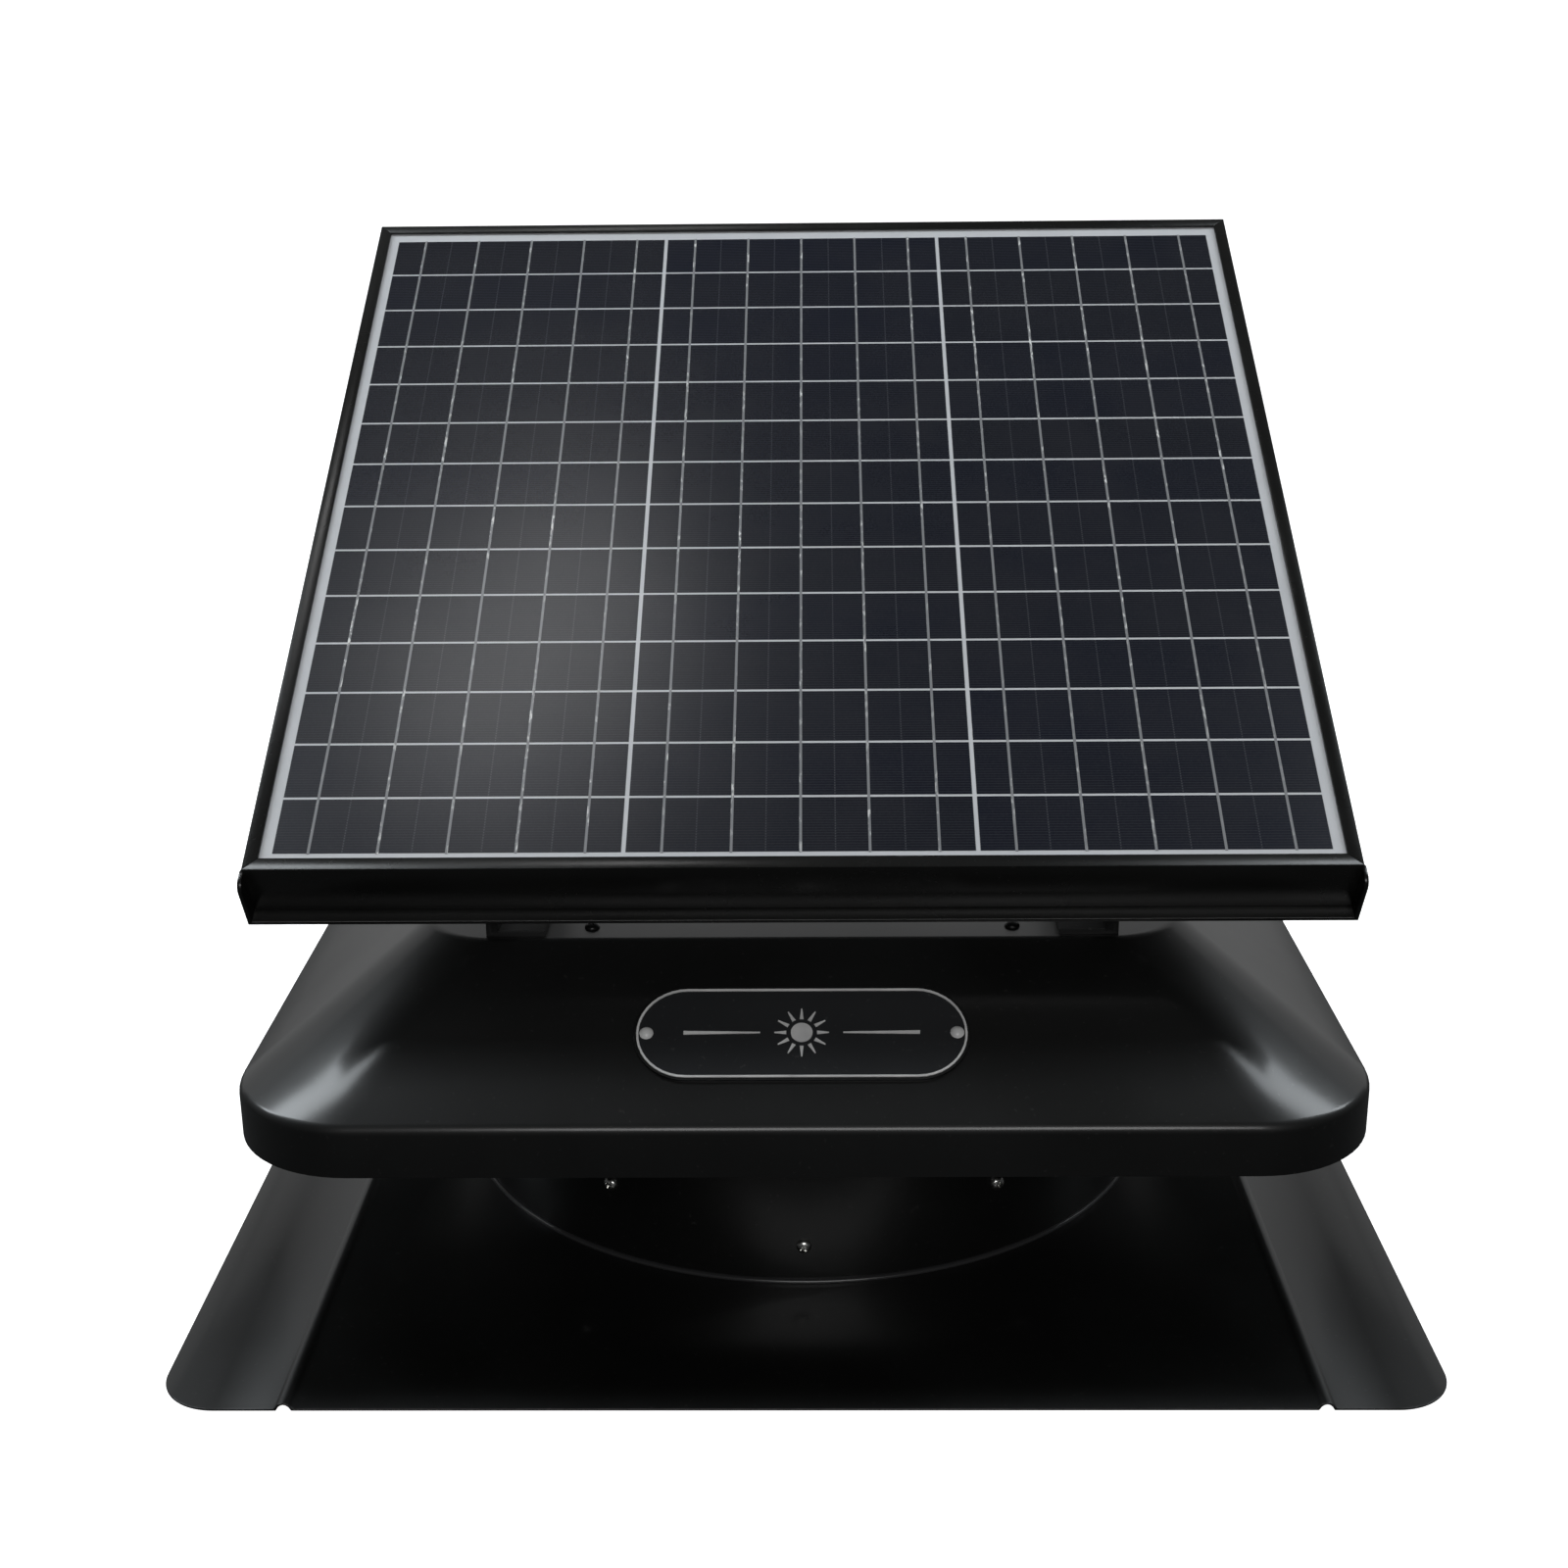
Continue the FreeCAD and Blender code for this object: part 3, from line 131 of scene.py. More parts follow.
def powderGroup():
    # fine orange peel, faint cloudiness and a little dust, as on baked powder coat
    tree, inp, out = groupTree("powderCoat", [
        ("Vector", "NodeSocketVector", None), ("Colour", "NodeSocketColor", (0.01, 0.01, 0.01, 1)),
        ("Roughness", "NodeSocketFloat", 0.3), ("Peel Scale", "NodeSocketFloat", 700.0),
        ("Dust", "NodeSocketFloat", 0.1)],
        surfaceOutputs)
    vector = inp.outputs["Vector"]
    peel = noiseNode(tree, vector, inp.outputs["Peel Scale"], 1.0)
    cloud = noiseNode(tree, vector, 9.0, 4.0)
    speck = remap(tree, noiseNode(tree, vector, 420.0, 3.0), 0.66, 0.74)
    dust = mathNode(tree, "MULTIPLY", speck, inp.outputs["Dust"])
    dusty = mixColor(tree, dust, inp.outputs["Colour"], (0.25, 0.25, 0.24, 1))
    lighter = mixColor(tree, 0.35, inp.outputs["Colour"], (0.03, 0.032, 0.033, 1))
    tree.links.new(mixColor(tree, remap(tree, cloud, 0.42, 0.7, 0.0, 0.35), dusty, lighter),
                   out.inputs["Colour"])
    shift = remap(tree, cloud, 0.3, 0.7, -0.035, 0.045)
    rough = mathNode(tree, "ADD", inp.outputs["Roughness"], shift)
    tree.links.new(mathNode(tree, "ADD", rough, mathNode(tree, "MULTIPLY", dust, 0.5), True),
                   out.inputs["Roughness"])
    tree.links.new(peel, out.inputs["Height"])
    return tree


def metalGroup():
    # drawn lines along one axis, with smears of tarnish
    tree, inp, out = groupTree("drawnMetal", [
        ("Vector", "NodeSocketVector", None), ("Colour", "NodeSocketColor", (0.6, 0.6, 0.6, 1)),
        ("Dark", "NodeSocketColor", (0.3, 0.3, 0.3, 1)), ("Roughness", "NodeSocketFloat", 0.3)],
        surfaceOutputs)
    vector = inp.outputs["Vector"]
    lines = noiseNode(tree, stretched(tree, vector, 60, 2500, 2500), 1.0, 2.0)
    smear = remap(tree, noiseNode(tree, vector, 60.0, 4.0), 0.4, 0.75)
    tarnished = mixColor(tree, smear, inp.outputs["Colour"], inp.outputs["Dark"])
    tree.links.new(tarnished, out.inputs["Colour"])
    rough = mathNode(tree, "ADD", inp.outputs["Roughness"], remap(tree, smear, 0, 1, -0.05, 0.15))
    tree.links.new(mathNode(tree, "ADD", rough, remap(tree, lines, 0.3, 0.7, -0.04, 0.04), True),
                   out.inputs["Roughness"])
    tree.links.new(lines, out.inputs["Height"])
    return tree


powder = powderGroup()
drawn = metalGroup()


# materials

def newMaterial(name):
    material = bpy.data.materials.new(name)
    material.use_nodes = True
    tree = material.node_tree
    return material, tree, tree.nodes["Principled BSDF"]


def objectVector(tree):
    return tree.nodes.new("ShaderNodeTexCoord").outputs["Object"]


def bumpTo(tree, shader, height, strength, distance):
    bump = tree.nodes.new("ShaderNodeBump")
    bump.inputs["Strength"].default_value = strength
    bump.inputs["Distance"].default_value = distance
    tree.links.new(height, bump.inputs["Height"])
    tree.links.new(bump.outputs["Normal"], shader.inputs["Normal"])


def effectMaterial(name, group, values, bump, metallic=0.0, specular=0.5, coat=0.0, coatRough=0.1):
    material, tree, shader = newMaterial(name)
    effect = tree.nodes.new("ShaderNodeGroup")
    effect.node_tree = group
    tree.links.new(objectVector(tree), effect.inputs["Vector"])
    for label, value in values.items():
        effect.inputs[label].default_value = value
    tree.links.new(effect.outputs["Colour"], shader.inputs["Base Color"])
    tree.links.new(effect.outputs["Roughness"], shader.inputs["Roughness"])
    bumpTo(tree, shader, effect.outputs["Height"], bump[0], bump[1])
    shader.inputs["Metallic"].default_value = metallic
    shader.inputs["Specular IOR Level"].default_value = specular
    shader.inputs["Coat Weight"].default_value = coat
    shader.inputs["Coat Roughness"].default_value = coatRough
    return material


def powderMaterial(name, colour, rough, dust=0.06, peel=(0.12, 0.00006), peelScale=700.0, specular=0.5,
                   coat=0.0, coatRough=0.15):
    values = {"Colour": (*colour, 1), "Roughness": rough, "Peel Scale": peelScale, "Dust": dust}
    return effectMaterial(name, powder, values, peel, 0.0, specular, coat, coatRough)


def metalMaterial(name, colour, dark, rough, lines=(0.1, 0.00003), metallic=1.0):
    values = {"Colour": (*colour, 1), "Dark": (*dark, 1), "Roughness": rough}
    return effectMaterial(name, drawn, values, lines, metallic=metallic)


def cellMaterial():
    # silicon under glass: fine silver fingers, a dotted line midway between the ribbons
    material, tree, shader = newMaterial("siliconCell")
    uv = tree.nodes.new("ShaderNodeUVMap")
    uv.uv_map = "UVMap"
    parts = tree.nodes.new("ShaderNodeSeparateXYZ")
    tree.links.new(uv.outputs["UV"], parts.inputs[0])
    tone = tree.nodes.new("ShaderNodeAttribute")
    tone.attribute_name = "cellTone"
    across = mathNode(tree, "MULTIPLY", parts.outputs["X"], 5.0)
    along = mathNode(tree, "MULTIPLY", parts.outputs["Y"], 21.0)
    finger = mathNode(tree, "LESS_THAN", mathNode(tree, "FRACT", along), 0.13)
    ribbonGap = mathNode(tree, "ABSOLUTE", mathNode(tree, "SUBTRACT", mathNode(tree, "FRACT",
                         mathNode(tree, "ADD", across, 0.5)), 0.5))
    dotted = mathNode(tree, "MULTIPLY", mathNode(tree, "LESS_THAN", ribbonGap, 0.009),
                      mathNode(tree, "GREATER_THAN", mathNode(tree, "FRACT", along), 0.45))
    vector = objectVector(tree)
    blotch = noiseNode(tree, vector, 26.0, 3.0)
    grain = noiseNode(tree, vector, 900.0, 1.0)
    navy = mixColor(tree, tone.outputs["Fac"], (0.0085, 0.0108, 0.0205, 1), (0.012, 0.0135, 0.0195, 1))
    base = mixColor(tree, remap(tree, blotch, 0.35, 0.65, 0.0, 0.5), navy, (0.019, 0.02, 0.026, 1))
    base = mixColor(tree, remap(tree, grain, 0.45, 0.75, 0.0, 0.25), base, (0.03, 0.032, 0.038, 1))
    marks = mathNode(tree, "MAXIMUM", mathNode(tree, "MULTIPLY", finger, 0.09),
                     mathNode(tree, "MULTIPLY", dotted, 0.16))
    tree.links.new(mixColor(tree, marks, base, (0.32, 0.33, 0.36, 1)), shader.inputs["Base Color"])
    shader.inputs["Roughness"].default_value = 0.42
    glassCoat(tree, shader, vector)
    return material


def glassCoat(tree, shader, vector):
    # the rolled solar glass over everything: a hazy sheen with a fine pebble
    shader.inputs["Specular IOR Level"].default_value = 0.0
    shader.inputs["Coat Weight"].default_value = 0.8
    shader.inputs["Coat Roughness"].default_value = 0.24
    bumpTo(tree, shader, noiseNode(tree, vector, 650.0, 2.0), 0.1, 0.0001)


def sheetMaterial():
    material, tree, shader = newMaterial("whiteSheet")
    vector = objectVector(tree)
    cloud = noiseNode(tree, vector, 40.0, 3.0)
    tree.links.new(mixColor(tree, cloud, (0.62, 0.63, 0.65, 1), (0.74, 0.75, 0.77, 1)),
                   shader.inputs["Base Color"])
    shader.inputs["Roughness"].default_value = 0.5
    glassCoat(tree, shader, vector)
    return material


def ribbonMaterial():
    # tinned ribbon: mostly grey, with painted highlights: bright glints put into the base colour in
    # patches, standing in for light caught where the solder lies uneven
    material, tree, shader = newMaterial("tinnedRibbon")
    vector = objectVector(tree)
    paintedGlint = remap(tree, noiseNode(tree, stretched(tree, vector, 500, 170, 170), 1.0, 3.0), 0.55, 0.66)
    drift = remap(tree, noiseNode(tree, vector, 14.0, 2.0), 0.35, 0.62)
    bright = mathNode(tree, "MULTIPLY", paintedGlint, drift)
    # painted highlight: the glint patches lighten the base colour toward near white
    tree.links.new(mixColor(tree, bright, (0.27, 0.275, 0.285, 1), (0.85, 0.85, 0.84, 1)),
                   shader.inputs["Base Color"])
    shader.inputs["Roughness"].default_value = 0.4
    glassCoat(tree, shader, vector)
    return material


def copperMaterial():
    material, tree, shader = newMaterial("enamelledCopper")
    vector = objectVector(tree)
    wave = tree.nodes.new("ShaderNodeTexWave")
    wave.bands_direction = "Z"
    wave.inputs["Scale"].default_value = 420.0
    tree.links.new(vector, wave.inputs["Vector"])
    # painted shade: the copper colour darkens in the grooves between the turns, where the bump's wave
    # is low
    tree.links.new(mixColor(tree, wave.outputs["Fac"], (0.22, 0.07, 0.03, 1), (0.72, 0.3, 0.12, 1)),
                   shader.inputs["Base Color"])
    shader.inputs["Metallic"].default_value = 0.9
    shader.inputs["Roughness"].default_value = 0.3
    bumpTo(tree, shader, wave.outputs["Fac"], 0.5, 0.0003)
    return material


paint = {"black": (0.0045, 0.0046, 0.0044), "grey": (0.017, 0.018, 0.02)}
materials = {
    "black_coat": powderMaterial("hoodPowder", paint["black"], 0.42, specular=0.32, coat=0.5,
                                 coatRough=0.17),
    "frame_black": powderMaterial("frameAnodised", (0.006, 0.006, 0.0055), 0.27, dust=0.03,
                                  peel=(0.08, 0.00003), peelScale=1500.0),
    "support_steel": powderMaterial("supportPowder", (0.012, 0.012, 0.012), 0.42, dust=0.15,
                                    peel=(0.25, 0.0001), peelScale=900.0),
    "zinc_steel": metalMaterial("zincSteel", (0.74, 0.74, 0.72), (0.42, 0.42, 0.4), 0.26),
    "plate_grey": powderMaterial("plateLacquer", paint["grey"], 0.38, dust=0.12, peelScale=2600.0),
    "rivet_silver": metalMaterial("polishedSilver", (0.86, 0.86, 0.85), (0.6, 0.6, 0.6), 0.25,
                                  metallic=0.0),
    "rubber": powderMaterial("rubber", (0.018, 0.018, 0.018), 0.7, dust=0.3, peel=(0.3, 0.0001)),
    "sealant": powderMaterial("sealant", (0.03, 0.03, 0.031), 0.24, dust=0.05),
    "black_plastic": powderMaterial("mouldedPlastic", (0.016, 0.016, 0.017), 0.5, dust=0.12,
                                    peel=(0.4, 0.00012), peelScale=1800.0),
    "motor_paint": powderMaterial("motorPaint", (0.014, 0.014, 0.015), 0.33),
    "bearing_steel": metalMaterial("bearingSteel", (0.78, 0.78, 0.78), (0.5, 0.5, 0.5), 0.16),
    "iron": metalMaterial("laminatedIron", (0.3, 0.3, 0.31), (0.12, 0.11, 0.1), 0.5, (0.4, 0.0001)),
    "copper": copperMaterial(),
    "board_green": powderMaterial("circuitBoard", (0.02, 0.13, 0.05), 0.35, dust=0.1),
    "fan_aluminium": metalMaterial("millAluminium", (0.72, 0.73, 0.74), (0.5, 0.51, 0.52), 0.32),
    "solar_cell": cellMaterial(),
    "backsheet_white": sheetMaterial(),
    "ribbon": ribbonMaterial(),
}
print("materials made:", len(materials))


# mesh helpers

weld = 0.004 * mm  # points nearer than this are one


def newPiece(name, verts, faces, material, smoothAngle=32.0, transform=None):
    mesh = bpy.data.meshes.new(name)
    mesh.from_pydata([tuple(v) for v in verts], [], faces)
    if transform is not None:
        mesh.transform(transform)
    piece = bpy.data.objects.new(name, mesh)
    bpy.context.scene.collection.objects.link(piece)
    mesh.materials.append(material)
    recalculate(mesh)
    smooth(mesh, smoothAngle)
    return piece


def recalculate(mesh):
    bm = bmesh.new()
    bm.from_mesh(mesh)
    bmesh.ops.remove_doubles(bm, verts=bm.verts, dist=weld)
    bmesh.ops.recalc_face_normals(bm, faces=bm.faces)
    bm.to_mesh(mesh)
    bm.free()


def smooth(mesh, angle):
    mesh.shade_smooth()
    mesh.set_sharp_from_angle(angle=math.radians(angle))


def applied(piece):
    # turns live modifiers into plain mesh
    bpy.context.view_layer.update()
    evaluated = piece.evaluated_get(bpy.context.evaluated_depsgraph_get())
    mesh = bpy.data.meshes.new_from_object(evaluated)
    piece.modifiers.clear()
    piece.data = mesh
    return piece


def bevel(piece, width, segments=2, angle=35.0):
    modifier = piece.modifiers.new("bevel", "BEVEL")
    modifier.width = width
    modifier.segments = segments
    modifier.limit_method = "ANGLE"
    modifier.angle_limit = math.radians(angle)
    applied(piece)
    smooth(piece.data, angle)
    return piece


def boolean(piece, tool, operation):
    modifier = piece.modifiers.new("boolean", "BOOLEAN")
    modifier.operation = operation
    modifier.object = tool
    modifier.solver = "EXACT"
    applied(piece)
    bpy.data.objects.remove(tool)
    return piece


def settle(piece, body, slot, *nodes):
    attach(piece, body)
    if nodes:
        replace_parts(piece, *nodes)
    return piece


def lathe(name, profile, material, segments=160, closed=True):
    verts, faces = [], []
    count = len(profile)
    for turn in range(segments):
        angle = 2 * math.pi * turn / segments
        verts += [(r * math.cos(angle), r * math.sin(angle), z) for r, z in profile]
    for turn in range(segments):
        here, after = turn * count, (turn + 1) % segments * count
        for i in range(count if closed else count - 1):
            j = (i + 1) % count
            faces.append((here + i, after + i, after + j, here + j))
    return newPiece(name, verts, faces, material)


def prism(name, outline, low, high, material, transform=None):
    # an outline of x, y points raised from low to high
    count = len(outline)
    verts = [(x, y, low) for x, y in outline] + [(x, y, high) for x, y in outline]
    faces = [tuple(reversed(range(count))), tuple(range(count, 2 * count))]
    faces += [(i, (i + 1) % count, count + (i + 1) % count, count + i) for i in range(count)]
    return newPiece(name, verts, faces, material, transform=transform)


def arcPoints(cx, cy, radius, start, end, steps):
    return [(cx + radius * math.cos(math.radians(start + (end - start) * i / steps)),
             cy + radius * math.sin(math.radians(start + (end - start) * i / steps)))
            for i in range(steps + 1)]


def roundedSquare(half, corner, steps, straight=1):
    # four quarter arcs, and the straight sides between them cut into even runs
    points = []
    flat = half - corner
    for turn, (sx, sy) in enumerate(((1, 1), (-1, 1), (-1, -1), (1, -1))):
        points += arcPoints(sx * flat, sy * flat, corner, 90 * turn, 90 * turn + 90, steps)
        nextX, nextY = ((-1, 1), (-1, -1), (1, -1), (1, 1))[turn]
        last = Vector(points[-1])
        acrossX, acrossY = (flat, half) if turn % 2 == 0 else (half, flat)
        first = Vector((nextX * acrossX, nextY * acrossY))
        points += [tuple(last.lerp(first, i / straight)) for i in range(1, straight)]
    return points


def stadiumPoints(halfLong, radius, steps=20):
    end = halfLong - radius
    return arcPoints(end, 0, radius, -90, 90, steps) + arcPoints(-end, 0, radius, 90, 270, steps)


# the panel's own flat frame: x across, y up the slope, z out of the glass

panelTilt = math.radians(31.0)
railTall = 30 * mm
frontLow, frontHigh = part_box("frame_front")
panelOrigin = Vector((0, frontLow.y + railTall * math.sin(panelTilt), frontLow.z))
panelPlace = Matrix.Translation(panelOrigin) @ Matrix.Rotation(panelTilt, 4, "X")


# hood

hood = {"half": 264 * mm, "flat": 181 * mm, "rim": 101 * mm, "skirt": 24 * mm, "rise": 57 * mm,
        "corner": 60 * mm, "flatCorner": 34 * mm, "round": 6 * mm, "wall": 1.2 * mm, "arcSteps": 7,
        "skirtRing": 8 * mm, "flatRings": (40 * mm, 90 * mm), "slopeRuns": 6, "cornerSteps": 16,
        "sideRuns": 8, "centre": 0.02}


def roundedBend(before, bend, after, radius, steps):
    # replaces the corner of a profile with an arc that meets both straight runs
    a = (Vector(before) - Vector(bend)).normalized()
    b = (Vector(after) - Vector(bend)).normalized()
    angle = a.angle(b)
    reach = radius / math.tan(angle / 2)
    centre = Vector(bend) + (a + b).normalized() * (radius / math.sin(angle / 2))
    start, end = Vector(bend) + a * reach - centre, Vector(bend) + b * reach - centre
    points = []
    for i in range(steps + 1):
        t = i / steps
        whole = start.angle(end)
        mix = start * math.sin((1 - t) * whole) + end * math.sin(t * whole)
        points.append(tuple(centre + mix / math.sin(whole)))
    return points


def makeHood():
    rimEnd = (hood["half"], hood["rim"])
    shoulder = (hood["half"], hood["rim"] + hood["skirt"])
    crease = (hood["flat"], shoulder[1] + hood["rise"])
    centre = (hood["centre"], crease[1])
    profile = [rimEnd, (hood["half"], hood["rim"] + hood["skirtRing"])]
    profile += roundedBend(rimEnd, shoulder, crease, hood["round"], hood["arcSteps"])
    slope = roundedBend(shoulder, crease, centre, hood["round"], hood["arcSteps"])
    last = Vector(profile[-1])
    runs = hood["slopeRuns"]
    profile += [tuple(last.lerp(Vector(slope[0]), i / runs)) for i in range(1, runs)] + slope
    profile += [(hood["flat"] - inward, crease[1]) for inward in hood["flatRings"]]
    verts, faces = [], []
    for half, z in profile:
        share = (z - shoulder[1]) / hood["rise"]
        corner = hood["corner"] + (hood["flatCorner"] - hood["corner"]) * min(max(share, 0), 1)
        corner = min(corner, half * 0.9)
        verts += [(x, y, z) for x, y in roundedSquare(half, corner, hood["cornerSteps"],
                                                        hood["sideRuns"])]
    count = len(verts) // len(profile)
    for ring in range(len(profile) - 1):
        here, above = ring * count, (ring + 1) * count
        faces += [(here + i, here + (i + 1) % count, above + (i + 1) % count, above + i)
                  for i in range(count)]
    faces.append(tuple(range(len(verts) - count, len(verts))))
    piece = newPiece("hoodShell", verts, faces, materials["black_coat"], 50)
    shell = piece.modifiers.new("wall", "SOLIDIFY")
    shell.thickness = hood["wall"]
    shell.offset = -1
    applied(piece)
    smooth(piece.data, 50)
    return settle(piece, "root", "black_coat", "hood")


makeHood()
print("hood made")


# roof flashing, throat and bead

flashing = {"half": 294 * mm, "corner": 28 * mm, "thick": 1.0 * mm, "ribX": 234 * mm,
            "ribWide": 9 * mm, "ribHigh": 3 * mm, "ribSteps": 6, "hole": 187.6 * mm, "edge": 0.3 * mm,
            "beyond": 5 * mm, "cutter": 20 * mm}
throat = {"radius": 188 * mm, "tall": 106 * mm, "wall": 1 * mm, "lip": 2.5 * mm, "segments": 200}
bead = {"out": 0.3 * mm, "up": 0.2 * mm, "round": 1.7 * mm, "top": 2 * mm}


def ribSide(side, lift):
    # half a pressed rib, as x and z, seen in section
    w, t, h = flashing["ribWide"] / 2 - lift, flashing["thick"], flashing["ribHigh"]
    x = side * flashing["ribX"]
    steps = flashing["ribSteps"]
    return [(x + w * (2 * i / steps - 1),
             t - lift + h * math.sin(math.pi * i / steps) ** 0.7) for i in range(steps + 1)]


def makeFlashing():
    half, thick = flashing["half"] + flashing["beyond"], flashing["thick"]
    top = [(-half, thick)] + ribSide(-1, 0) + ribSide(1, 0) + [(half, thick)]
    under = [(-half, 0)] + ribSide(-1, thick) + ribSide(1, thick) + [(half, 0)]
    section = top + under[::-1]
    count = len(section)
    verts = [(x, y, z) for y in (-half, half) for x, z in section]
    faces = [(i, (i + 1) % count, count + (i + 1) % count, count + i) for i in range(count)]
    faces += [tuple(reversed(range(count))), tuple(range(count, 2 * count))]
    sheet = newPiece("flashingSheet", verts, faces, materials["black_coat"])
    plan = roundedSquare(flashing["half"], flashing["corner"], 18)
    circle = arcPoints(0, 0, flashing["hole"], 0, 360 - 360 / 160, 159)
    for name, outline, operation in (("plan", plan, "INTERSECT"), ("circle", circle, "DIFFERENCE")):
        reach = flashing["cutter"]
        boolean(sheet, prism(name, outline, -reach, reach, materials["black_coat"]), operation)
    smooth(sheet.data, 30)
    bevel(sheet, flashing["edge"], 2, 60)
    return settle(sheet, "root", "black_coat", "base_flashing")


def makeThroat():
    r, tall, wall, lip = (throat[k] for k in ("radius", "tall", "wall", "lip"))
    bend = arcPoints(r + lip, tall - lip, lip, 180, 90, 6)
    inner = arcPoints(r + lip, tall - lip, lip + wall, 90, 180, 6)
    outside = [(r, 0)] + [(x, min(z, tall - wall)) for x, z in bend]
    profile = outside + [(x, min(z, tall)) for x, z in inner] + [(r - wall, 0)]
    pipe = lathe("throatPipe", profile, materials["black_coat"], throat["segments"])
    settle(pipe, "root", "black_coat", "throat")
    foot = flashing["thick"]
    swell = arcPoints(r + bead["out"], foot + bead["up"], bead["round"], -60, 120, 8)
    outline = [(r, foot)] + [(x, max(z, foot)) for x, z in swell] + [(r, foot + bead["top"])]
    ring = lathe("sealBead", outline, materials["sealant"], throat["segments"])
    settle(ring, "root", "sealant", "seal_bead")


makeFlashing()
makeThroat()
print("flashing and throat made")


# panel frame

rails = {"wide": 502.05 * mm, "deep": 489.8 * mm, "wall": 1.5 * mm, "lip": 6.7 * mm,
         "lipThick": 1.2 * mm, "flange": 25 * mm, "tall": railTall, "ledge": 24.7 * mm,
         "edge": 0.35 * mm}


def railSection():
    wall, lip, tall, ledge = rails["wall"], rails["lip"], rails["tall"], rails["ledge"]
    top = tall - rails["lipThick"]
    return [(0, 0), (rails["flange"], 0), (rails["flange"], wall), (wall, wall), (wall, ledge - wall),
            (lip, ledge - wall), (lip, ledge), (wall, ledge), (wall, top), (lip, top), (lip, tall),
            (0, tall)]


def mitredRail(name, length, turn, shift):
    section = railSection()
    count = len(section)
    verts = [(side * (length / 2 - inward), inward, up) for side in (-1, 1) for inward, up in section]
    faces = [(i, (i + 1) % count, count + (i + 1) % count, count + i) for i in range(count)]
    faces += [tuple(reversed(range(count))), tuple(range(count, 2 * count))]
    place = panelPlace @ Matrix.Translation(shift) @ Matrix.Rotation(math.radians(turn), 4, "Z")
    rail = newPiece(name, verts, faces, materials["frame_black"], transform=place)
    bevel(rail, rails["edge"])
    return settle(rail, "solar_panel", "frame_black", name.replace("Rail", "_").lower())


def makeFrame():
    wide, deep = rails["wide"], rails["deep"]
    for name, length, turn, shift in (("frameRailFront", wide, 0, (0, 0, 0)),
                                      ("frameRailRear", wide, 180, (0, deep, 0)),
                                      ("frameRailLeft", deep, -90, (-wide / 2, deep / 2, 0)),
                                      ("frameRailRight", deep, 90, (wide / 2, deep / 2, 0))):
        mitredRail(name, length, turn, shift)


channel = {"reach": 7 * mm, "back": 25 * mm, "thick": 2 * mm, "ear": 26 * mm, "earBack": 6 * mm,
           "earRound": 5 * mm, "edge": 0.4 * mm}


def makeChannel():
    half, t = rails["wide"] / 2, channel["thick"]
    r, ear, reach = channel["earRound"], channel["ear"], channel["reach"]
    wide, back = half + t, channel["back"]
    sole = [(-wide, -reach), (wide, -reach), (wide, back), (-wide, back)]
    plate = prism("frontChannel", sole, -t, 0, materials["frame_black"])
    outline = [(-reach, 0), (channel["earBack"], 0)]
    outline += arcPoints(channel["earBack"] - r, ear - r, r, 0, 90, 6)
    outline += arcPoints(-reach + r, ear - r, r, 90, 180, 6)
    for start in (-half - t, half):
        upright = Matrix(((0, 0, 1, start), (1, 0, 0, 0), (0, 1, 0, 0), (0, 0, 0, 1)))
        boolean(plate, prism("ear", outline, 0, t, materials["frame_black"], upright), "UNION")
    plate.data.transform(panelPlace)
    bevel(plate, channel["edge"])
    return settle(plate, "solar_panel", "frame_black", "front_channel")


makeFrame()
makeChannel()
print("panel frame made")


# geometry nodes: things that repeat

def geometryTree(name, inputs):
    tree = bpy.data.node_groups.new(name, "GeometryNodeTree")
    tree.interface.new_socket("Geometry", in_out="INPUT", socket_type="NodeSocketGeometry")
    for label, kind, default in inputs:
        socket = tree.interface.new_socket(label, in_out="INPUT", socket_type=kind)
        if default is not None:
            socket.default_value = default
    tree.interface.new_socket("Geometry", in_out="OUTPUT", socket_type="NodeSocketGeometry")
    return tree, tree.nodes.new("NodeGroupInput"), tree.nodes.new("NodeGroupOutput")


def combine(tree, x=0.0, y=0.0, z=0.0):
    node = tree.nodes.new("ShaderNodeCombineXYZ")
    for socket, value in zip(node.inputs, (x, y, z)):
        feed(tree, socket, value)
    return node.outputs[0]


def link(tree, output, node, label):
    tree.links.new(output, node.inputs[label])


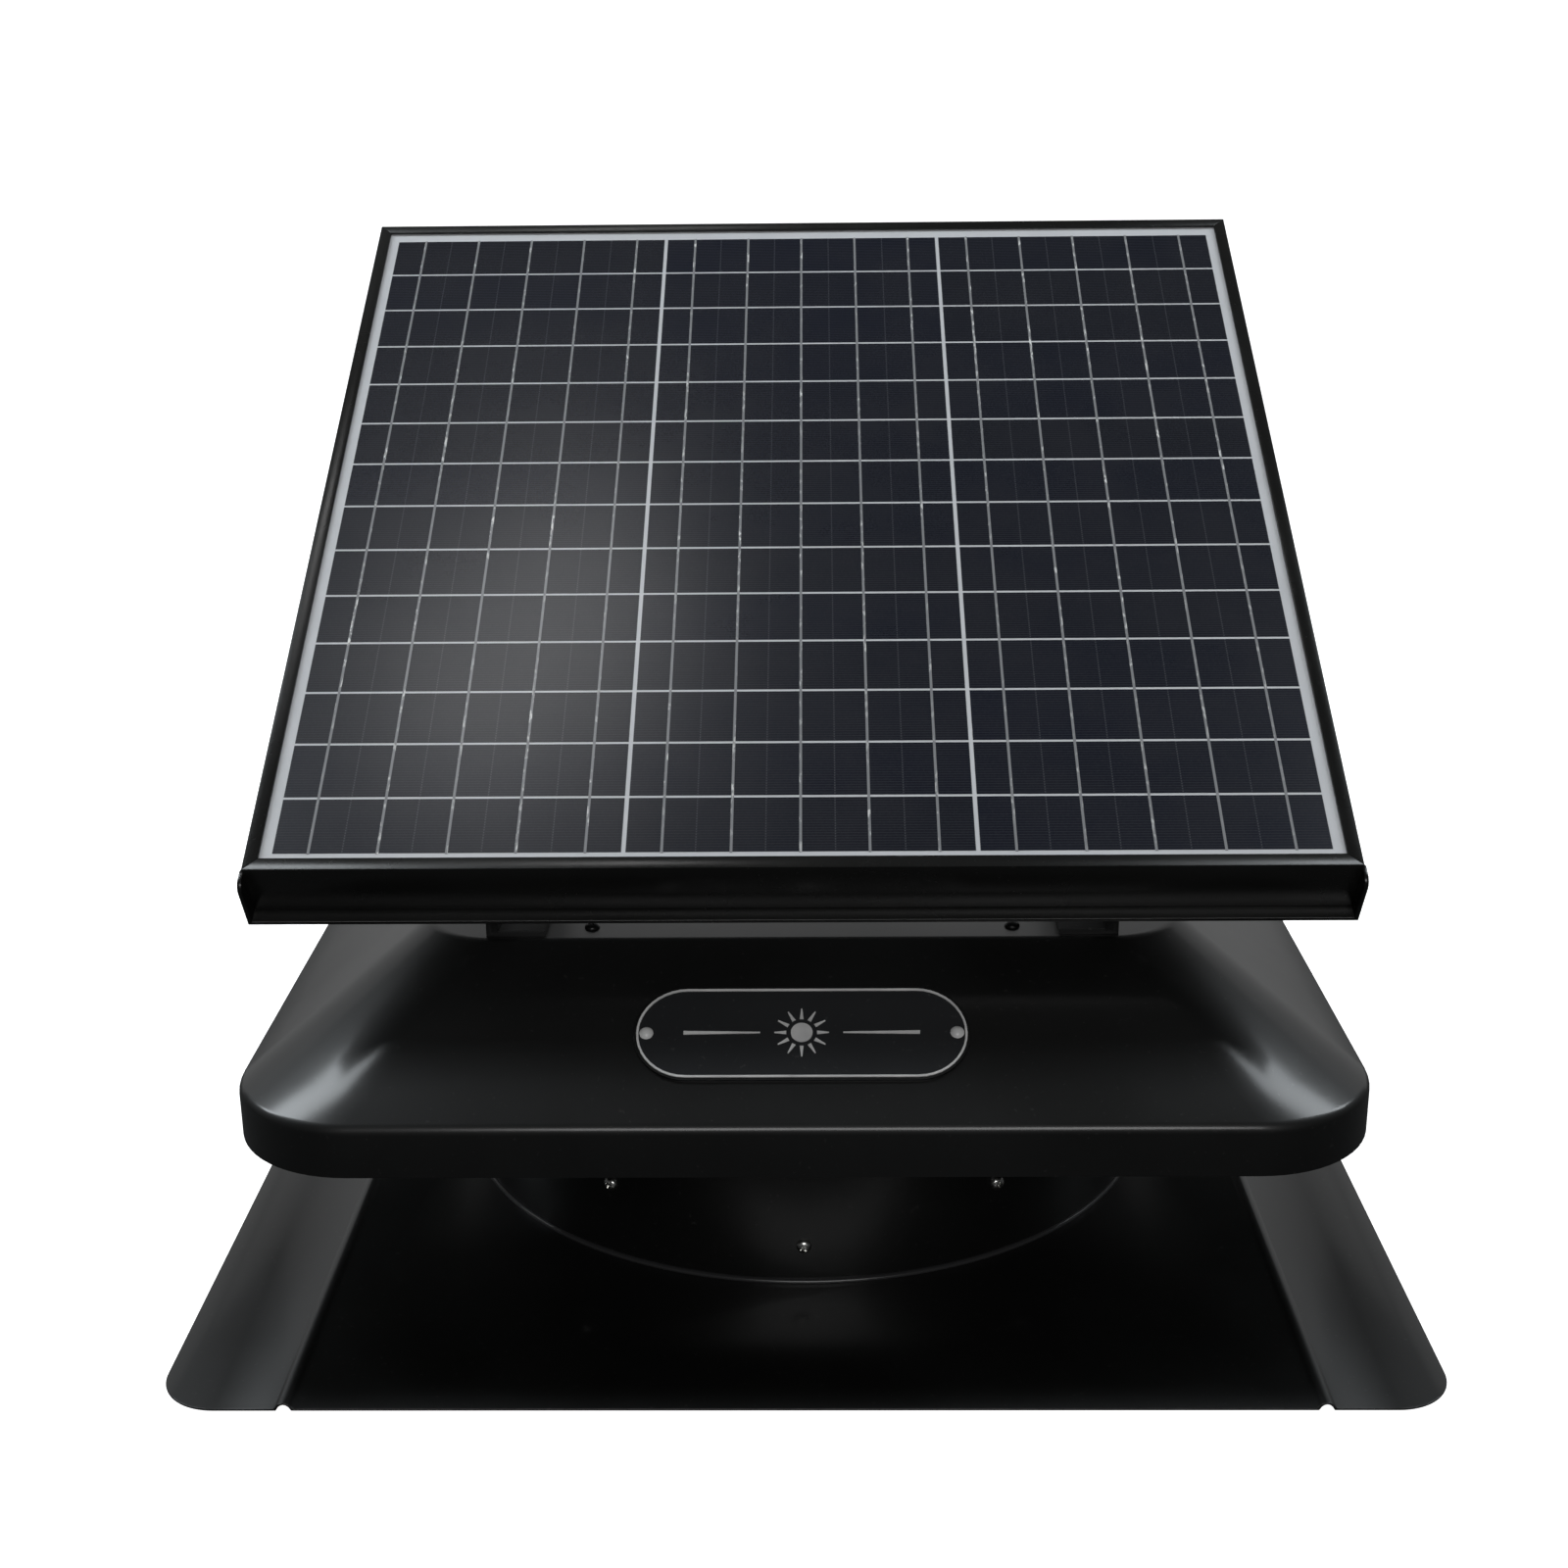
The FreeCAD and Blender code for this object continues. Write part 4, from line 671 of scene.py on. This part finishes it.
def plateFieldTree():
    # a grid of thin plates, each with its own random tone
    tree, inp, out = geometryTree("plateField", [
        ("Columns", "NodeSocketInt", 3), ("Rows", "NodeSocketInt", 14),
        ("Pitch X", "NodeSocketFloat", 0.16), ("Pitch Y", "NodeSocketFloat", 0.033),
        ("Wide", "NodeSocketFloat", 0.15), ("Deep", "NodeSocketFloat", 0.03),
        ("Thick", "NodeSocketFloat", 0.0002), ("Seed", "NodeSocketInt", 3),
        ("Material", "NodeSocketMaterial", None)])
    o = inp.outputs
    spread = tree.nodes.new("GeometryNodeMeshGrid")
    for label, count, pitch in (("Size X", "Columns", "Pitch X"), ("Size Y", "Rows", "Pitch Y")):
        gaps = mathNode(tree, "SUBTRACT", o[count], 1.0)
        link(tree, mathNode(tree, "MULTIPLY", gaps, o[pitch]), spread, label)
    link(tree, o["Columns"], spread, "Vertices X")
    link(tree, o["Rows"], spread, "Vertices Y")
    plate = tree.nodes.new("GeometryNodeMeshCube")
    link(tree, combine(tree, o["Wide"], o["Deep"], o["Thick"]), plate, "Size")
    position = tree.nodes.new("GeometryNodeInputPosition")
    flatUv = tree.nodes.new("ShaderNodeVectorMath")
    flatUv.operation = "DIVIDE"
    tree.links.new(position.outputs[0], flatUv.inputs[0])
    tree.links.new(combine(tree, o["Wide"], o["Deep"], 1.0), flatUv.inputs[1])
    centred = tree.nodes.new("ShaderNodeVectorMath")
    tree.links.new(flatUv.outputs[0], centred.inputs[0])
    centred.inputs[1].default_value = (0.5, 0.5, 0.5)
    uv = tree.nodes.new("GeometryNodeStoreNamedAttribute")
    uv.data_type, uv.domain = "FLOAT2", "CORNER"
    uv.inputs["Name"].default_value = "UVMap"
    link(tree, plate.outputs["Mesh"], uv, "Geometry")
    link(tree, centred.outputs[0], uv, "Value")
    scatter = tree.nodes.new("GeometryNodeInstanceOnPoints")
    link(tree, spread.outputs["Mesh"], scatter, "Points")
    link(tree, uv.outputs[0], scatter, "Instance")
    chance = tree.nodes.new("FunctionNodeRandomValue")
    link(tree, o["Seed"], chance, "Seed")
    tone = tree.nodes.new("GeometryNodeStoreNamedAttribute")
    tone.data_type, tone.domain = "FLOAT", "INSTANCE"
    tone.inputs["Name"].default_value = "cellTone"
    link(tree, scatter.outputs[0], tone, "Geometry")
    tree.links.new(chance.outputs[1], tone.inputs["Value"])
    real = tree.nodes.new("GeometryNodeRealizeInstances")
    link(tree, tone.outputs[0], real, "Geometry")
    finish = tree.nodes.new("GeometryNodeSetMaterial")
    link(tree, real.outputs[0], finish, "Geometry")
    link(tree, o["Material"], finish, "Material")
    tree.links.new(finish.outputs[0], out.inputs[0])
    return tree


def scatterTree():
    # copies of one fastener on points, each turned to its point's facing
    tree, inp, out = geometryTree("fastenerScatter", [
        ("Fastener", "NodeSocketObject", None), ("Seed", "NodeSocketInt", 5),
        ("Material", "NodeSocketMaterial", None)])
    o = inp.outputs
    head = tree.nodes.new("GeometryNodeObjectInfo")
    link(tree, o["Fastener"], head, "Object")
    facing = tree.nodes.new("GeometryNodeInputNamedAttribute")
    facing.data_type = "FLOAT_VECTOR"
    facing.inputs["Name"].default_value = "facing"
    align = tree.nodes.new("FunctionNodeAlignRotationToVector")
    align.axis = "Z"
    tree.links.new(facing.outputs[0], align.inputs["Vector"])
    chance = tree.nodes.new("FunctionNodeRandomValue")
    chance.inputs[3].default_value = 3.1
    link(tree, o["Seed"], chance, "Seed")
    spin = tree.nodes.new("FunctionNodeRotateRotation")
    spin.rotation_space = "LOCAL"
    twist = tree.nodes.new("FunctionNodeEulerToRotation")
    tree.links.new(combine(tree, 0.0, 0.0, chance.outputs[1]), twist.inputs[0])
    tree.links.new(align.outputs[0], spin.inputs[0])
    tree.links.new(twist.outputs[0], spin.inputs[1])
    scatter = tree.nodes.new("GeometryNodeInstanceOnPoints")
    link(tree, o[0], scatter, "Points")
    link(tree, head.outputs["Geometry"], scatter, "Instance")
    link(tree, spin.outputs[0], scatter, "Rotation")
    real = tree.nodes.new("GeometryNodeRealizeInstances")
    link(tree, scatter.outputs[0], real, "Geometry")
    finish = tree.nodes.new("GeometryNodeSetMaterial")
    link(tree, real.outputs[0], finish, "Geometry")
    link(tree, o["Material"], finish, "Material")
    tree.links.new(finish.outputs[0], out.inputs[0])
    return tree


def grown(name, tree, values, points=()):
    # a piece made by a node tree, from loose points when the tree wants them
    mesh = bpy.data.meshes.new(name)
    mesh.from_pydata([tuple(p) for p, facing in points], [], [])
    if points:
        attribute = mesh.attributes.new("facing", "FLOAT_VECTOR", "POINT")
        attribute.data.foreach_set("vector", [c for p, facing in points for c in facing])
    piece = bpy.data.objects.new(name, mesh)
    bpy.context.scene.collection.objects.link(piece)
    modifier = piece.modifiers.new("nodes", "NODES")
    modifier.node_group = tree
    for item in tree.interface.items_tree:
        if item.item_type == "SOCKET" and item.in_out == "INPUT" and item.name in values:
            modifier[item.identifier] = values[item.name]
    return applied(piece)


plateField = plateFieldTree()
scatterFasteners = scatterTree()


# the laminate: white sheet, cells and ribbons

laminate = {"columns": 3, "rows": 14, "cellWide": 156.75 * mm, "cellStrip": 31.35 * mm,
            "columnGap": 3.2 * mm, "rowGap": 2.0 * mm, "borderFront": 4.0 * mm, "ribbons": 5,
            "ribbonWide": 1.25 * mm, "spread": 1.2 * mm, "sheetTop": 28.3 * mm, "cellTop": 28.42 * mm,
            "ribbonTop": 28.5 * mm, "flat": 0.3 * mm, "sheetLow": 25.6 * mm, "clear": 0.05 * mm,
            "ribbonOver": 1.6 * mm}


def makeLaminate():
    pitchX = laminate["cellWide"] + laminate["columnGap"]
    pitchY = laminate["cellStrip"] + laminate["rowGap"]
    cellsDeep = laminate["rows"] * pitchY - laminate["rowGap"]
    midY = rails["lip"] + laminate["borderFront"] + cellsDeep / 2
    inside = rails["wide"] / 2 - rails["wall"] - laminate["clear"]
    low = rails["wall"] + laminate["clear"]
    high = rails["deep"] - rails["wall"] - laminate["clear"]
    corners = [(-inside, low), (inside, low), (inside, high), (-inside, high)]
    sheet = prism("glassAndSheet", corners, laminate["sheetLow"], laminate["sheetTop"],
                  materials["backsheet_white"], panelPlace)
    settle(sheet, "solar_panel", "backsheet_white", "panel_glass")

    flat = laminate["flat"]
    cells = grown("cellField", plateField, {
        "Columns": laminate["columns"], "Rows": laminate["rows"], "Pitch X": pitchX, "Pitch Y": pitchY,
        "Wide": laminate["cellWide"] + laminate["spread"],
        "Deep": laminate["cellStrip"] + laminate["spread"] / 2, "Thick": flat, "Seed": 11,
        "Material": materials["solar_cell"]})
    cells.data.transform(panelPlace @ Matrix.Translation((0, midY, laminate["cellTop"] - flat / 2)))
    settle(cells, "solar_panel", "solar_cell", "solar_cells")

    step = laminate["cellWide"] / laminate["ribbons"]
    for column in range(laminate["columns"]):
        centre = (column - (laminate["columns"] - 1) / 2) * pitchX
        strips = grown(f"ribbons{column + 1}", plateField, {
            "Columns": laminate["ribbons"], "Rows": 1, "Pitch X": step, "Pitch Y": 0.01,
            "Wide": laminate["ribbonWide"], "Deep": cellsDeep + laminate["ribbonOver"], "Thick": flat,
            "Seed": column, "Material": materials["ribbon"]})
        place = Matrix.Translation((centre, midY, laminate["ribbonTop"] - flat / 2))
        strips.data.transform(panelPlace @ place)
        settle(strips, "solar_panel", "solar_cell")


makeLaminate()
print("laminate made")


# nameplate: a plain sun between two tapering bars

badge = {"y": -224 * mm, "halfLong": 77 * mm, "radius": 24.5 * mm, "rim": 1.3 * mm,
         "line": 1.1 * mm, "thick": 1.5 * mm, "raise": 1.9 * mm, "face": 1.2 * mm, "rays": 12,
         "rivetX": 71 * mm, "seat": 0.2 * mm}
sun = {"disc": 5 * mm, "rayFrom": 7 * mm, "rayTo": 12.5 * mm, "rayRoot": 0.9 * mm, "rayTip": 0.25 * mm,
       "barFrom": 19 * mm, "barTo": 54 * mm, "barNear": 0.35 * mm, "barFar": 0.9 * mm, "low": 1.0 * mm,
       "high": 1.6 * mm}


def ringOfOutlines(name, outer, inner, low, high, material, transform):
    count = len(outer)
    verts = [(x, y, z) for ring, z in ((outer, low), (outer, high), (inner, high), (inner, low))
             for x, y in ring]
    faces = []
    for band in range(4):
        a, b = band * count, (band + 1) % 4 * count
        faces += [(a + i, a + (i + 1) % count, b + (i + 1) % count, b + i) for i in range(count)]
    return newPiece(name, verts, faces, material, transform=transform)


def makeNameplate():
    run = hood["half"] - hood["flat"]
    slope = math.atan2(hood["rise"], run)
    seat = hood["rim"] + hood["skirt"] + (badge["y"] + hood["half"]) * hood["rise"] / run
    place = Matrix.Translation((0, badge["y"], seat)) @ Matrix.Rotation(slope, 4, "X")
    long, radius = badge["halfLong"], badge["radius"]
    plate = prism("nameplateFace", stadiumPoints(long, radius), 0, badge["face"],
                  materials["plate_grey"], place)
    settle(plate, "root", "plate_grey", "nameplate")
    inset = badge["rim"]
    edge = ringOfOutlines("nameplateEdge", stadiumPoints(long, radius),
                          stadiumPoints(long - inset, radius - inset), badge["seat"], badge["thick"],
                          materials["black_coat"], place)
    bevel(edge, 0.2 * mm)
    settle(edge, "root", "plate_grey")
    bright = inset + badge["line"]
    line = ringOfOutlines("nameplateLine", stadiumPoints(long - inset, radius - inset),
                          stadiumPoints(long - bright, radius - bright), badge["seat"], badge["raise"],
                          materials["rivet_silver"], place)
    bevel(line, 0.3 * mm)
    settle(line, "root", "rivet_silver")

    silver, low, high = materials["rivet_silver"], sun["low"], sun["high"]
    marks = [prism("sunDisc", arcPoints(0, 0, sun["disc"], 0, 350, 35), low, high, silver)]
    root, tip, near, far = (sun[k] for k in ("rayRoot", "rayTip", "rayFrom", "rayTo"))
    for turn in range(badge["rays"]):
        ray = [(near, -root), (far, -tip), (far, tip), (near, root)]
        around = Matrix.Rotation(2 * math.pi * turn / badge["rays"], 4, "Z")
        marks.append(prism("ray", ray, low, high, silver, around))
    near, far, thin, broad = (sun[k] for k in ("barFrom", "barTo", "barNear", "barFar"))
    for side in (-1, 1):
        bar = [(side * near, -thin), (side * far, -broad), (side * far, broad), (side * near, thin)]
        marks.append(prism("bar", bar, low, high, silver))
    emblem = joined("sunEmblem", marks)
    emblem.data.transform(place)
    settle(emblem, "root", "rivet_silver")

    dome = [(0, 2.9), (1.1, 2.75), (2.1, 2.3), (2.9, 1.6), (3.3, 1.1), (3.3, 0.9), (0, 0.9)]
    rivet = lathe("rivetHead", [(r * mm, z * mm) for r, z in dome], materials["rivet_silver"], 28)
    ups = place.to_3x3() @ Vector((0, 0, 1))
    spots = [(place @ Vector((side * badge["rivetX"], 0, 0)), ups) for side in (-1, 1)]
    heads = grown("nameplateRivets", scatterFasteners,
                  {"Fastener": rivet, "Material": materials["rivet_silver"]}, spots)
    bpy.data.objects.remove(rivet)
    settle(heads, "root", "rivet_silver", "nameplate_rivets")


def joined(name, pieces):
    bm = bmesh.new()
    for piece in pieces:
        bm.from_mesh(piece.data)
    mesh = bpy.data.meshes.new(name)
    bm.to_mesh(mesh)
    bm.free()
    mesh.materials.append(pieces[0].data.materials[0])
    for piece in pieces:
        bpy.data.objects.remove(piece)
    whole = bpy.data.objects.new(name, mesh)
    bpy.context.scene.collection.objects.link(whole)
    smooth(mesh, 30)
    return whole


makeNameplate()
print("nameplate made")


# screws with a cross recess

screw = {"head": 3.7 * mm, "tall": 2.4 * mm, "recess": 1.3 * mm, "slot": 0.75 * mm, "reach": 2.1 * mm,
         "hoodRing": 194.7 * mm, "armHeight": 21 * mm, "legHeight": 41 * mm, "legTurn": 31,
         "cornerIn": 17 * mm, "cornerHeights": (8 * mm, 20.5 * mm)}


def screwHead():
    head, tall = screw["head"], screw["tall"]
    dome = [(0, 1), (0.35, 0.97), (0.65, 0.84), (0.88, 0.56), (0.98, 0.25), (1, 0), (0, 0)]
    profile = [(across * head, up * tall) for across, up in dome]
    body = lathe("screwHead", profile, materials["zinc_steel"], 36)
    reach, slot = screw["reach"], screw["slot"] / 2
    cross = [(slot, slot), (slot, reach), (-slot, reach), (-slot, slot),
             (-reach, slot), (-reach, -slot), (-slot, -slot), (-slot, -reach),
             (slot, -reach), (slot, -slot), (reach, -slot), (reach, slot)]
    boolean(body, prism("cross", cross, tall - screw["recess"], 2 * tall, materials["zinc_steel"]),
            "DIFFERENCE")
    smooth(body.data, 40)
    return body


def outward(angle):
    return Vector((math.cos(math.radians(angle)), math.sin(math.radians(angle)), 0))


def makeScrews():
    head = screwHead()
    arms = [90 * quarter for quarter in range(4)]
    legs = [turn + side * screw["legTurn"] for turn in (-90, 90) for side in (-1, 1)]
    spots = [(outward(angle) * throat["radius"] + Vector((0, 0, height)), outward(angle))
             for angles, height in ((arms, screw["armHeight"]), (legs, screw["legHeight"]))
             for angle in angles]
    top = Vector((0, 0, hood["rim"] + hood["skirt"] + hood["rise"]))
    topSpots = [(outward(angle) * screw["hoodRing"] + top, Vector((0, 0, 1))) for angle in legs]
    shell = grown("throatScrews", scatterFasteners,
                  {"Fastener": head, "Material": materials["zinc_steel"], "Seed": 4}, spots)
    settle(shell, "root", "zinc_steel", "shell_screws")
    painted = grown("hoodScrews", scatterFasteners,
                    {"Fastener": head, "Material": materials["black_coat"], "Seed": 6}, topSpots)
    settle(painted, "root", "black_coat")

    corners = []
    tilt3 = panelPlace.to_3x3()
    for side in (-1, 1):
        for along in (screw["cornerIn"], rails["deep"] - screw["cornerIn"]):
            for height in screw["cornerHeights"]:
                spot = panelPlace @ Vector((side * rails["wide"] / 2, along, height))
                corners.append((spot, tilt3 @ Vector((side, 0, 0))))
    frameScrews = grown("cornerScrews", scatterFasteners,
                        {"Fastener": head, "Material": materials["zinc_steel"], "Seed": 9}, corners)
    settle(frameScrews, "solar_panel", "zinc_steel", "corner_screws")
    bpy.data.objects.remove(head)


makeScrews()
print("screws made")


# every other CAD part: softened edges and its own finish

fineEdge = {"motor_bearings": 0.2 * mm, "controller_board": 0.2 * mm, "bird_screen": 0.15 * mm}
plainEdge = 0.35 * mm


def refine(node, slot, body, width):
    source = frame["nodes"][node].data.copy()
    bm = bmesh.new()
    bm.from_mesh(source)
    bmesh.ops.remove_doubles(bm, verts=bm.verts, dist=weld)
    bmesh.ops.dissolve_limit(bm, angle_limit=math.radians(0.8), verts=bm.verts, edges=bm.edges)
    bm.to_mesh(source)
    bm.free()
    piece = bpy.data.objects.new(node + "Fine", source)
    bpy.context.scene.collection.objects.link(piece)
    source.materials.clear()
    source.materials.append(materials[slot])
    smooth(source, 32)
    bevel(piece, width, 2, 40)
    settle(piece, body, slot, node)


def refineRest():
    slots = {part["node"]: part["material_slot"] for part in frame["record"]["subparts"]}
    done = {name for piece in bpy.data.objects for name in piece.get("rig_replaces", [])}
    for body, names in frame["record"]["behaviour"]["bodies"].items():
        for node in names:
            if node not in done:
                refine(node, slots[node], body, fineEdge.get(node, plainEdge))


refineRest()
print("carried-over parts refined")


# floor, light and camera

def areaLight(name, spot, target, sizeX, sizeY, power, colour=(1, 1, 1)):
    data = bpy.data.lights.new(name, "AREA")
    data.shape = "RECTANGLE"
    data.size, data.size_y, data.energy, data.color = sizeX, sizeY, power, colour
    lamp = bpy.data.objects.new(name, data)
    bpy.context.scene.collection.objects.link(lamp)
    lamp.location = spot
    lamp.rotation_euler = (Vector(target) - Vector(spot)).to_track_quat("-Z", "Y").to_euler()


stage = {"reach": 40.0, "low": -0.2 * mm, "cardY": 1.7, "cardHalf": 2.6, "cardTop": 1.75}


def stageSheet(name, corners, glow, grey):
    # white to the camera; in reflections it glows and reflects only this much
    material, tree, shader = newMaterial(name)
    path = tree.nodes.new("ShaderNodeLightPath").outputs["Is Camera Ray"]
    tree.links.new(mixColor(tree, path, (grey, grey, grey, 1), (0.8, 0.8, 0.8, 1)),
                   shader.inputs["Base Color"])
    shader.inputs["Roughness"].default_value = 0.9
    shader.inputs["Emission Color"].default_value = (1, 1, 1, 1)
    tree.links.new(remap(tree, path, 0, 1, glow, 1.0), shader.inputs["Emission Strength"])
    newPiece(name, corners, [(0, 1, 2, 3)], material)


def makeStage():
    wide, low = stage["reach"], stage["low"]
    floor = [(-wide, -wide, low), (wide, -wide, low), (wide, wide, low), (-wide, wide, low)]
    stageSheet("floor", floor, 0.0, 0.04)
    half, y, top = stage["cardHalf"], stage["cardY"], stage["cardTop"]
    card = [(-half, y, low), (half, y, low), (half, y, top), (-half, y, top)]
    stageSheet("backCard", card, 0.35, 0.16)


def makeWorld():
    world = bpy.data.worlds.new("studio")
    world.use_nodes = True
    tree = world.node_tree
    background = tree.nodes["Background"]
    path = tree.nodes.new("ShaderNodeLightPath")
    tree.links.new(remap(tree, path.outputs["Is Camera Ray"], 0, 1, 0.05, 1.0),
                   background.inputs["Strength"])
    background.inputs["Color"].default_value = (1, 1, 1, 1)
    bpy.context.scene.world = world


def makeCamera():
    view = {"spot": (7.2 * mm, -1109.3 * mm, 567.6 * mm), "yaw": -0.915, "pitch": 18.41,
            "roll": 0.576, "lens": 48.8}
    yaw, pitch, roll = (math.radians(view[k]) for k in ("yaw", "pitch", "roll"))
    level = Vector((math.sin(yaw), math.cos(yaw), 0)) * math.cos(pitch)
    forward = level - Vector((0, 0, math.sin(pitch)))
    right = Vector((math.cos(yaw), -math.sin(yaw), 0))
    down = forward.cross(right)
    turnedRight = right * math.cos(roll) + down * math.sin(roll)
    up = right * math.sin(roll) - down * math.cos(roll)
    data = bpy.data.cameras.new("camera")
    data.lens, data.sensor_width, data.clip_end = view["lens"], 36.0, 200.0
    camera = bpy.data.objects.new("camera", data)
    bpy.context.scene.collection.objects.link(camera)
    turn = Matrix((turnedRight, up, -forward)).transposed().to_4x4()
    camera.matrix_world = Matrix.Translation(view["spot"]) @ turn
    bpy.context.scene.camera = camera


makeStage()
makeWorld()
makeCamera()
bpy.context.scene.view_settings.view_transform = "Standard"
for side, name, power in ((-1, "left", 26), (1, "right", 20)):
    areaLight(name + "Box", (side * 1.62, 0.3, 1.9), (side * 0.2, -0.2, 0.15), 0.45, 1.5, power,
              (0.9, 0.96, 1.0))
areaLight("panelBox", (-0.46, 0.42, 2.6), (-0.1, 0.0, 0.3), 0.5, 0.25, 2.2)
areaLight("frontFill", (0.2, -3.2, 1.7), (0, -0.1, 0.2), 1.6, 1.0, 30)
print("floor, light and camera made")
